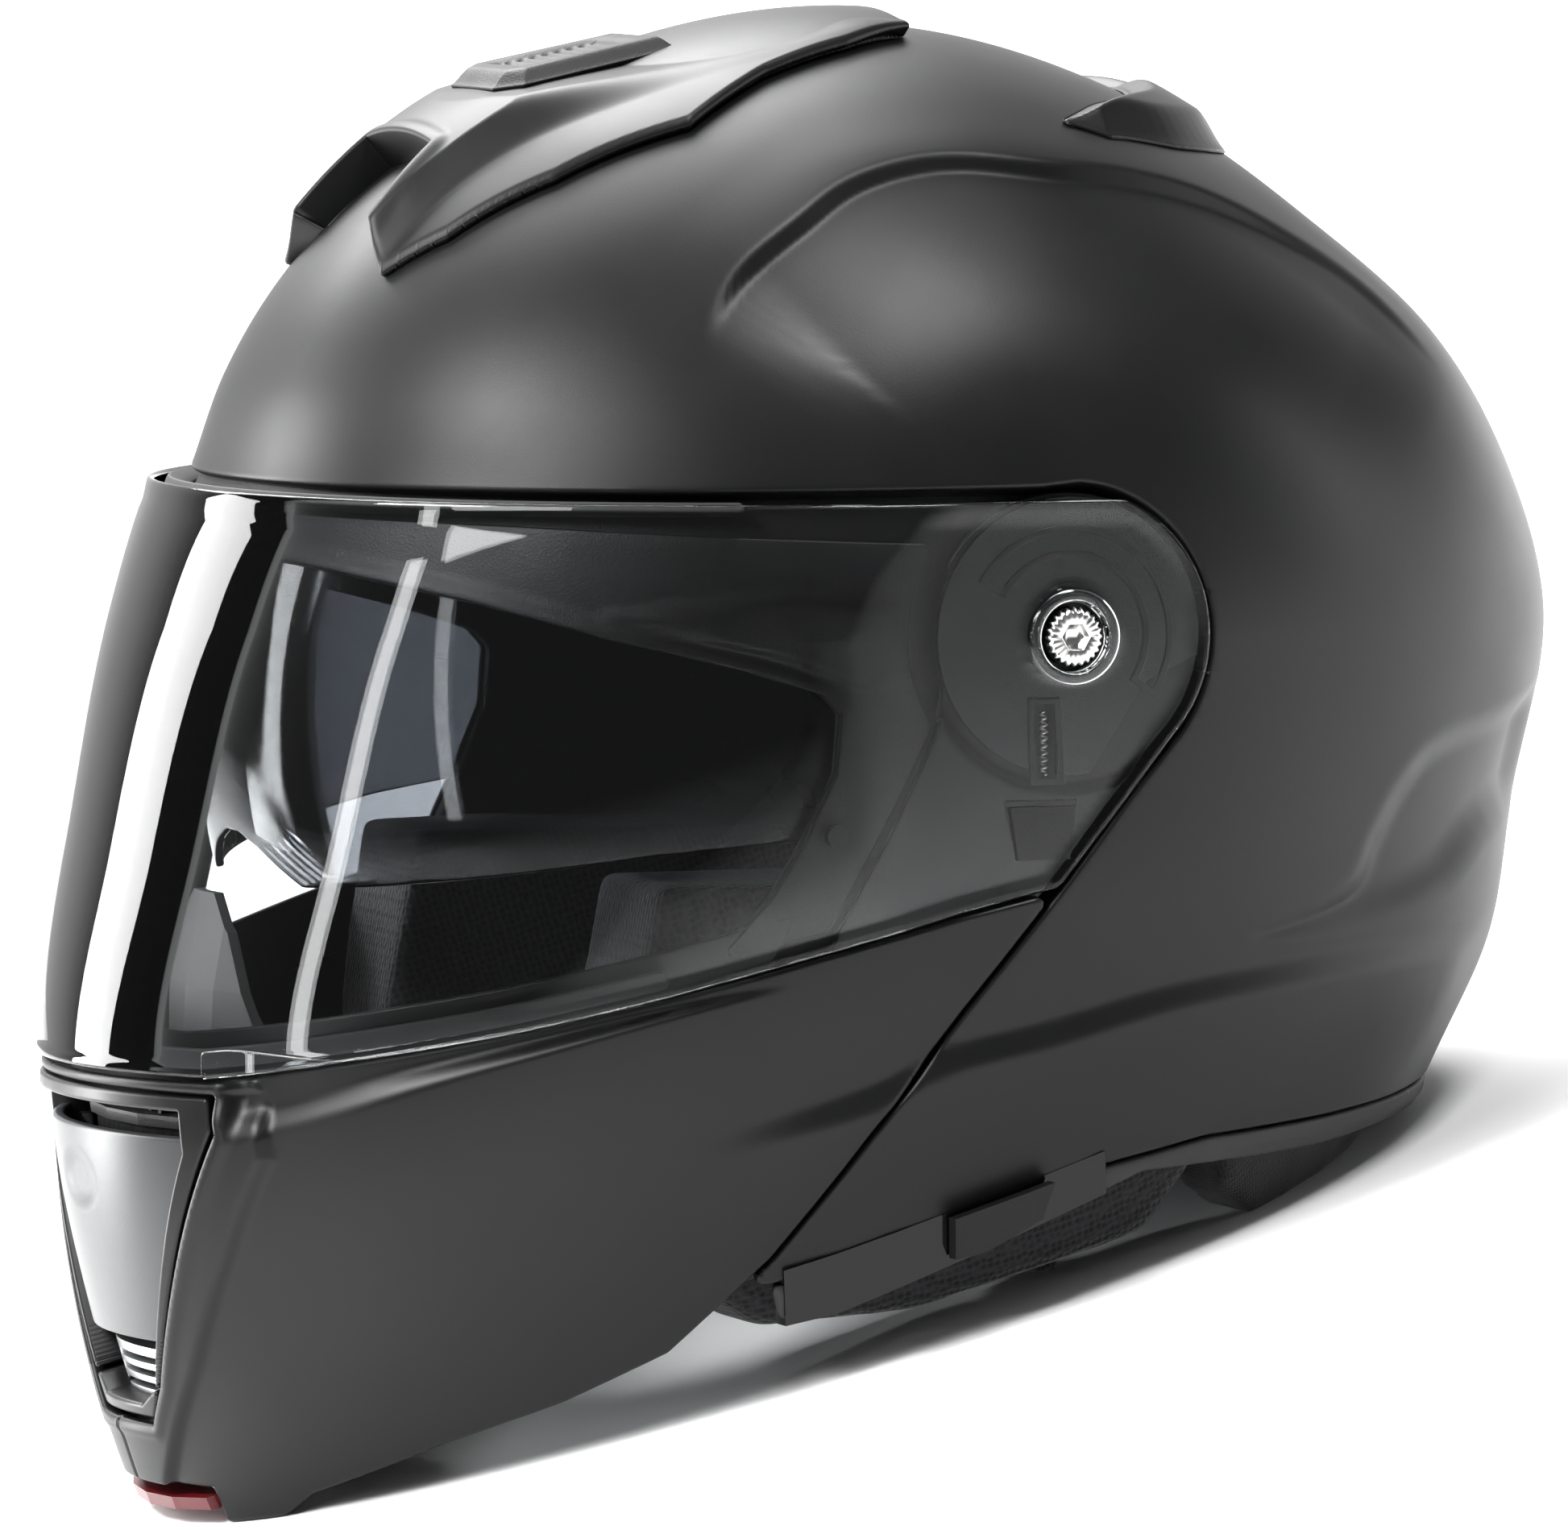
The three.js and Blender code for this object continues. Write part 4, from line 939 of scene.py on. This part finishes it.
ahead = curved([(0, 56), (34, 48), (56, 30), (66, 20)], 6)
behind = curved([(67, 32), (56, 54), (34, 72), (0, 82)], 6)
half = ahead + behind
crescent = half + [(-a, b) for a, b in half[::-1]]
plan_x, plan_y = plan_grid(-72, 72, 14, 88, 0.6)
base = crown_height(plan_x, plan_y)
plan_in = signed_distance(crescent, plan_x, plan_y)
backwards = ease(plan_y - 50 + 0.55 * np.abs(plan_x), -14, 24)
rise = 0.8 + 5.2 * ease(plan_in, 0.0, 7.0) * (0.45 + 0.55 * backwards)
spoiler_points = np.stack([plan_x, plan_y, base + rise], -1)
piece = panel("rear_vent_wing", spoiler_points, plan_in, rise * 0.8, rim=0.8, wrap=False)
dress(piece, "shell", SHELL, "matte_black_shell", "rear_vent_spoiler")

# -------------------- liner and inner parts

liner_grid = body_grid(SHELL_FRONT, SHELL_SET_BACK + LINER_INSET, 300, 90, 80, low=-104)
side_y, side_z = side_view(liner_grid)
keep = [
    (-200, 20), (-100, 12), (-58, 0), (-58, -48), (48, -48), (56, -100), (REACH, -100), (REACH, 160),
    (-200, 160),
]
liner_in = signed_distance(keep, side_y, side_z)
sunken = 8.8 * ease(signed_distance(recess(6), side_y, side_z), -1, 4)
lens_pocket = arc(0, SUN_HINGE_Z, 18, -90, 30) + [(-88, 134), (-REACH, 134), (-REACH, -84)]
pocket = signed_distance(lens_pocket, side_y, side_z)
across = np.abs(liner_grid[..., 0])
liner_in = np.minimum(liner_in, -np.minimum(pocket + 4, across - LINER_FLANK))
# In the pocket the outer face is pulled in to the inside of the sun visor's swept barrel.
radius = np.hypot(side_y, side_z - SUN_HINGE_Z)
reach = sun_reach(np.minimum(across, LINER_FLANK + 3), LINER_INSET)
pull = 1 - (1 - np.minimum(1, reach / np.maximum(radius, 1))) * ease(pocket, -10, 3)
liner_points = np.stack([
    liner_grid[..., 0], side_y * pull, SUN_HINGE_Z + (side_z - SUN_HINGE_Z) * pull,
], -1)
away = np.linalg.norm(liner_points - liner_grid, axis=-1)
liner_lift = -sunken * (1 - ease(away, 0, 8))
liner_wall = np.maximum(LINER_WALL + liner_lift - away, LINER_LEAST_WALL)
piece = panel("bead_liner", liner_points, liner_in, liner_wall, rim=1.5, lift=liner_lift)
dress(piece, "shell", FOAM, "foam", "eps_liner")

chin_foam_grid = body_grid(FACE_FRONT, 4.4, 300, 4, 160, low=-180)
side_y, side_z = side_view(chin_foam_grid)
outline = [(-REACH, -112.6), (-106, -106.6), (-106, -156), (-150, -173), (-REACH, -173)]
foam_in = signed_distance(outline, side_y, side_z)
duct = np.where(side_y < -100, signed_distance(both_sides(VENT_OUTER), chin_foam_grid[..., 0], side_z), -50)
foam_lift = -7.0 * ease(duct, -3, 0)
piece = panel("chin_bar_foam", chin_foam_grid, foam_in, 18.8 + foam_lift, rim=0.8, lift=foam_lift)
dress(piece, "chin_bar", FOAM, "foam", "chin_bar_eps")


def shown(name, material, bevel):
    """The CAD node itself, with rounded edges and its finish."""
    obj = nodes[name]
    obj.data.materials.clear()
    obj.data.materials.append(material)
    round_edges = obj.modifiers.new("round_edges", "BEVEL")
    round_edges.width = bevel / 1000
    round_edges.segments = 3
    round_edges.limit_method = "ANGLE"
    round_edges.angle_limit = math.radians(32)


# -------------------- arms and small parts

arm_seam = shifted([(13, -35), (-2, -54), (-23, -80), (-36, -98)], -2.5, 0)
arm_front = [(-57, -100), (-55, -76), (-51, -63), (-38, -38), (-28.5, -17)]
arm_outline = arc(0, 0, 31, 150, -42, 40) + arm_seam + arm_front
arm_grid = body_grid(FACE_FRONT, ARM_INSET, 900, 110, 300, low=-110)
x, side_y, side_z = arm_grid[..., 0], arm_grid[..., 1], arm_grid[..., 2]
hub = np.hypot(side_y, side_z)
near_hub = 1 - ease(hub, 31.5, 34.5)
arm_grid[..., 0] = x * (1 - near_hub) + np.sign(x) * ARM_DISC_X * near_hub
arm_in = np.minimum(signed_distance(arm_outline, side_y, side_z), hub - 5.8)
for side, label in SIDES:
    one_side = np.where(arm_grid[..., 0] * side > 40, arm_in, -50)
    piece = panel(f"lift_arm_{label}", arm_grid, one_side, 2.1, rim=0.5)
    dress(piece, "chin_bar", MOULDED, "black_plastic", f"arm_{label}")

for label in ("left", "right"):
    shown(f"visor_base_{label}", GLOSS, 0.3)
    shown(f"visor_latch_{label}", MOULDED, 0.4)
    shown(f"lock_pawl_{label}", STEEL, 0.4)
    shown(f"striker_pin_{label}", STEEL, 0.3)
    shown(f"strap_anchor_{label}", STEEL, 0.3)
    shown(f"sun_visor_pivot_{label}", MOULDED, 0.4)
    shown(f"pinlock_pin_{label}", MOULDED, 0.3)
shown("buckle_body", STEEL, 0.4)
shown("buckle_lever", STEEL, 0.4)
shown("chin_bar_inner_cover", PLASTIC, 0.4)
shown("breath_deflector", RUBBER, 0.4)
shown("slider_rail", GLOSS, 0.6)
shown("sun_visor_slider", PLASTIC, 0.9)
shown("release_lever", RED, 0.5)


def screw(side, label):
    """The fluted steel pivot screw: a domed head with ten lobes and a hexagonal socket."""
    steps, rings = 288, []
    for x, radius, lobes in (
        (115, 5.5, 0), (125.0, 5.5, 0), (125.2, 6.2, 0.35), (127.6, 6.3, 0.4), (128.5, 5.9, 0.35),
        (128.9, 5.0, 0.15), (128.9, 3.1, 0), (128.7, 2.8, 0), (126.6, 2.6, 0),
    ):
        ring = []
        for k in range(steps):
            t = 2 * math.pi * k / steps
            r = radius * (1 + lobes * 0.12 * (math.cos(24 * t) - 0.6))
            if radius < 3.2:
                r = radius / max(math.cos((t % (math.pi / 3)) - math.pi / 6), 0.5) * 0.95
            ring.append((side * x, r * math.cos(t), r * math.sin(t)))
        rings.append(ring)
    vertices = [p for ring in rings for p in ring]
    faces = []
    for k in range(len(rings) - 1):
        for i in range(steps):
            j = (i + 1) % steps
            quad = (k * steps + i, k * steps + j, (k + 1) * steps + j, (k + 1) * steps + i)
            faces.append(quad if side > 0 else quad[::-1])
    last = (len(rings) - 1) * steps
    ends = [tuple(range(steps))[::-1], tuple(last + i for i in range(steps))]
    faces += ends if side > 0 else [e[::-1] for e in ends]
    piece = mesh_object(f"pivot_screw_{label}", vertices, faces)
    dress(piece, "shell", STEEL, "steel", f"pivot_bolt_{label}")


def ring(name, profile, steps=96):
    """A turned ring about the pivot axis from a closed profile of (x, radius)."""
    turns = np.linspace(0, 2 * math.pi, steps, endpoint=False)
    vertices = [(x, r * math.cos(t), r * math.sin(t)) for x, r in profile for t in turns]
    count = len(profile)
    faces = []
    for k in range(count):
        for i in range(steps):
            j = (i + 1) % steps
            n = (k + 1) % count
            faces.append((k * steps + i, k * steps + j, n * steps + j, n * steps + i))
    return mesh_object(name, vertices, faces)


def coil(side, label):
    """The latch's coil spring."""
    turns, per_turn, wire_steps = 9, 22, 8
    radius, wire = 1.15, 0.32
    length = 13.6
    middle = (side * 123.3, -5.5, -23.0)
    vertices, faces = [], []
    count = turns * per_turn
    for k in range(count + 1):
        t = 2 * math.pi * k / per_turn
        z = middle[2] + length * (k / count - 0.5)
        for m in range(wire_steps):
            w = 2 * math.pi * m / wire_steps
            r = radius - wire + wire * math.cos(w)
            x, y = middle[0] + r * math.cos(t), middle[1] + r * math.sin(t)
            vertices.append((x, y, z + wire * math.sin(w)))
    for k in range(count):
        for m in range(wire_steps):
            n = (m + 1) % wire_steps
            here, ahead = k * wire_steps, (k + 1) * wire_steps
            faces.append((here + m, here + n, ahead + n, ahead + m))
    faces.append(tuple(range(wire_steps))[::-1])
    faces.append(tuple(count * wire_steps + m for m in range(wire_steps)))
    piece = mesh_object(f"latch_coil_{label}", vertices, faces)
    dress(piece, nodes[f"latch_spring_{label}"]["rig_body"], STEEL, "steel", f"latch_spring_{label}")


def hub_ring(side, label):
    """The thick clear collar of the visor round the pivot screw."""
    profile = [(side * x, r) for x, r in (
        (126.9, 7.7), (128.5, 7.8), (129.0, 8.3), (129.0, 9.6), (128.6, 10.2), (126.9, 10.6),
    )]
    if side < 0:
        profile = profile[::-1]
    piece = ring(f"visor_collar_{label}", profile)
    dress(piece, "visor", CLEAR, "clear_lens")


def frame_ring(name, outline, x_low, x_high, width):
    """A thin raised border round a side-view outline, as a flat panel facing sideways."""
    grid_y, grid_z = np.meshgrid(np.arange(-40, 40, 0.4), np.arange(40, -55, -0.4))
    band = signed_distance(outline, grid_y, grid_z)
    band = np.minimum(band, width - band)
    points = np.stack([np.full(grid_y.shape, x_high), grid_y, grid_z], -1)
    return panel(name, points, band, x_high - x_low, rim=0.2, wrap=False)


def pod_details(side, label):
    """Raised borders of the visor mechanism: the spring's window, the latch's window and the cam track."""
    window = [(-9.5, -13), (-2, -13), (-1, -32), (-9, -32)]
    latch = [(-15, -35), (2, -35), (1, -44), (-13, -44)]
    track = arc(0, 0, 24, 150, -35, 30) + arc(0, 0, 17, -35, 150, 30)
    for kind, outline in (("window", window), ("catch", latch), ("track", track)):
        piece = frame_ring(f"pod_{kind}_{label}", outline, 124.4, 124.75, 1.5)
        if side < 0:
            piece.data.transform(Matrix.Scale(-1, 4, (1, 0, 0)))
            piece.data.flip_normals()
        dress(piece, "chin_bar", MOULDED, "black_plastic")


for side, label in SIDES:
    pod_details(side, label)
    screw(side, label)
    coil(side, label)
    hub_ring(side, label)

# -------------------- padding

def soft_copy(name, source, voxel, rounds, swell):
    """A copy of a simple soft solid, remeshed, rounded all over and slightly swollen."""
    cad = nodes[source]
    obj = bpy.data.objects.new(name, cad.data.copy())
    bpy.context.scene.collection.objects.link(obj)
    remesh = obj.modifiers.new("even", "REMESH")
    remesh.mode = "VOXEL"
    remesh.voxel_size = voxel / 1000
    smooth = obj.modifiers.new("round", "SMOOTH")
    smooth.factor = 0.6
    smooth.iterations = rounds
    puff = obj.modifiers.new("puff", "DISPLACE")
    puff.strength = swell / 1000
    puff.mid_level = 0.0
    graph = bpy.context.evaluated_depsgraph_get()
    mesh = bpy.data.meshes.new_from_object(obj.evaluated_get(graph))
    old = obj.data
    obj.modifiers.clear()
    obj.data = mesh
    bpy.data.meshes.remove(old)
    mesh.polygons.foreach_set("use_smooth", [True] * len(mesh.polygons))
    return obj


def pad(name, source, material, voxel, rounds, swell):
    piece = soft_copy(name, source, voxel, rounds, swell)
    dress(piece, "shell", material, "fabric", source)


pad("crown_cushion", "crown_pad", MESH_FABRIC, 1.6, 6, 0.2)
for label in ("left", "right"):
    pad(f"cheek_cushion_{label}", f"cheek_pad_{label}", MESH_FABRIC, 1.6, 18, 0.8)
pad("neck_cushion", "neck_roll", SUEDE, 1.6, 12, 0.6)

for label in ("left", "right"):
    piece = soft_copy(f"strap_band_{label}", f"chin_strap_{label}", 0.7, 3, 0.0)
    dress(piece, "shell", WEBBING, "webbing", f"chin_strap_{label}")

piece = soft_copy("chin_curtain_flap", "chin_curtain", 0.7, 4, 0.0)
dress(piece, "chin_bar", SUEDE, "fabric", "chin_curtain")

# -------------------- studio

def area_light(name, place, size_x, size_y, watts, aim=AIM):
    data = bpy.data.lights.new(name, "AREA")
    data.shape = "RECTANGLE"
    data.size = size_x
    data.size_y = size_y
    data.energy = watts
    obj = bpy.data.objects.new(name, data)
    obj.location = place
    obj.rotation_mode = "QUATERNION"
    obj.rotation_quaternion = (aim - Vector(place)).to_track_quat("-Z", "Y")
    bpy.context.scene.collection.objects.link(obj)


def floor_material():
    """Pale card that turns grey over FLOOR_FADE_X, to keep its light off the flank the camera sees."""
    material = new_material("studio_white", (FLOOR_PALE,) * 3, 0.7, Specular_IOR_Level=0.1)
    shader = material.node_tree.nodes["Principled BSDF"]
    place = add(material, "ShaderNodeTexCoord")
    axes = add(material, "ShaderNodeSeparateXYZ")
    fade = add(material, "ShaderNodeMapRange")
    set_range(fade, FLOOR_FADE_X, (FLOOR_PALE, FLOOR_GREY), "SMOOTHSTEP")
    link(material, place, "Object", axes, "Vector")
    link(material, axes, "X", fade, "Value")
    link(material, fade, "Result", shader, "Base Color")
    return material


def studio_floor():
    mesh = bpy.data.meshes.new("studio_floor")
    corners = [(x * FLOOR_REACH, y * FLOOR_REACH, 0) for x, y in ((-1, -1), (1, -1), (1, 1), (-1, 1))]
    mesh.from_pydata(corners, [], [(0, 1, 2, 3)])
    mesh.materials.append(floor_material())
    floor = bpy.data.objects.new("studio_floor", mesh)
    bpy.context.scene.collection.objects.link(floor)


def studio_world():
    """A dim room with a bright backdrop towards BACKDROP_DIRECTION."""
    world = bpy.data.worlds.new("studio")
    bpy.context.scene.world = world
    world.use_nodes = True
    tree = world.node_tree
    background = tree.nodes["Background"]
    background.inputs["Color"].default_value = (1, 1, 1, 1)
    place = tree.nodes.new("ShaderNodeTexCoord")
    towards = tree.nodes.new("ShaderNodeVectorMath")
    towards.operation = "DOT_PRODUCT"
    towards.inputs[1].default_value = BACKDROP_DIRECTION
    spread = tree.nodes.new("ShaderNodeMapRange")
    set_range(spread, BACKDROP_EDGE, (ROOM_LIGHT, BACKDROP_LIGHT), "SMOOTHSTEP")
    tree.links.new(place.outputs["Generated"], towards.inputs[0])
    tree.links.new(towards.outputs["Value"], spread.inputs["Value"])
    tree.links.new(spread.outputs["Result"], background.inputs["Strength"])


def studio():
    """The world, the floor and eight soft boxes."""
    studio_world()
    studio_floor()
    area_light("upper_side_box", (0.75, 0.75, 1.75), 0.6, 0.45, 26)
    area_light("front_upper_box", (0.8, -1.05, 1.45), 0.7, 0.55, 14)
    area_light("front_top_box", (0.3, -1.2, 1.75), 0.8, 0.4, 36)
    area_light("visor_strip", (-1.38, -1.26, 0.55), 0.6, 1.5, 46)
    area_light("side_strip", (0.55, -1.75, 0.75), 0.12, 1.3, 6)
    area_light("rear_box", (0.6, 1.9, 0.2), 0.3, 0.9, 6)
    area_light("floor_fill", (-1.2, 0.5, 2.4), 1.6, 1.6, 60, Vector((-0.6, 0.1, 0)))
    area_light("far_fill", (-3.4, 0.6, 2.6), 2.8, 2.8, 260, Vector((-3.2, 0.9, 0)))
    bpy.context.scene.view_settings.view_transform = "Standard"


def camera():
    azimuth, elevation = CAMERA_AZIMUTH, CAMERA_ELEVATION
    level = math.cos(elevation)
    back = Vector((math.sin(azimuth) * level, -math.cos(azimuth) * level, math.sin(elevation)))
    right = Vector((math.cos(azimuth), math.sin(azimuth), 0))
    up = back.cross(right)
    turn = Matrix((right, up, back)).transposed().to_4x4()
    data = bpy.data.cameras.new("camera")
    data.lens = LENS
    data.sensor_width = SENSOR_WIDTH
    data.clip_start = 0.1
    data.clip_end = 50
    obj = bpy.data.objects.new("camera", data)
    tilt = Matrix.Rotation(-STAND_TILT, 4, "X")
    obj.matrix_world = Matrix.Translation(TO_ROW @ Vector(CAMERA)) @ tilt @ turn
    bpy.context.scene.collection.objects.link(obj)
    bpy.context.scene.camera = obj


studio()
camera()
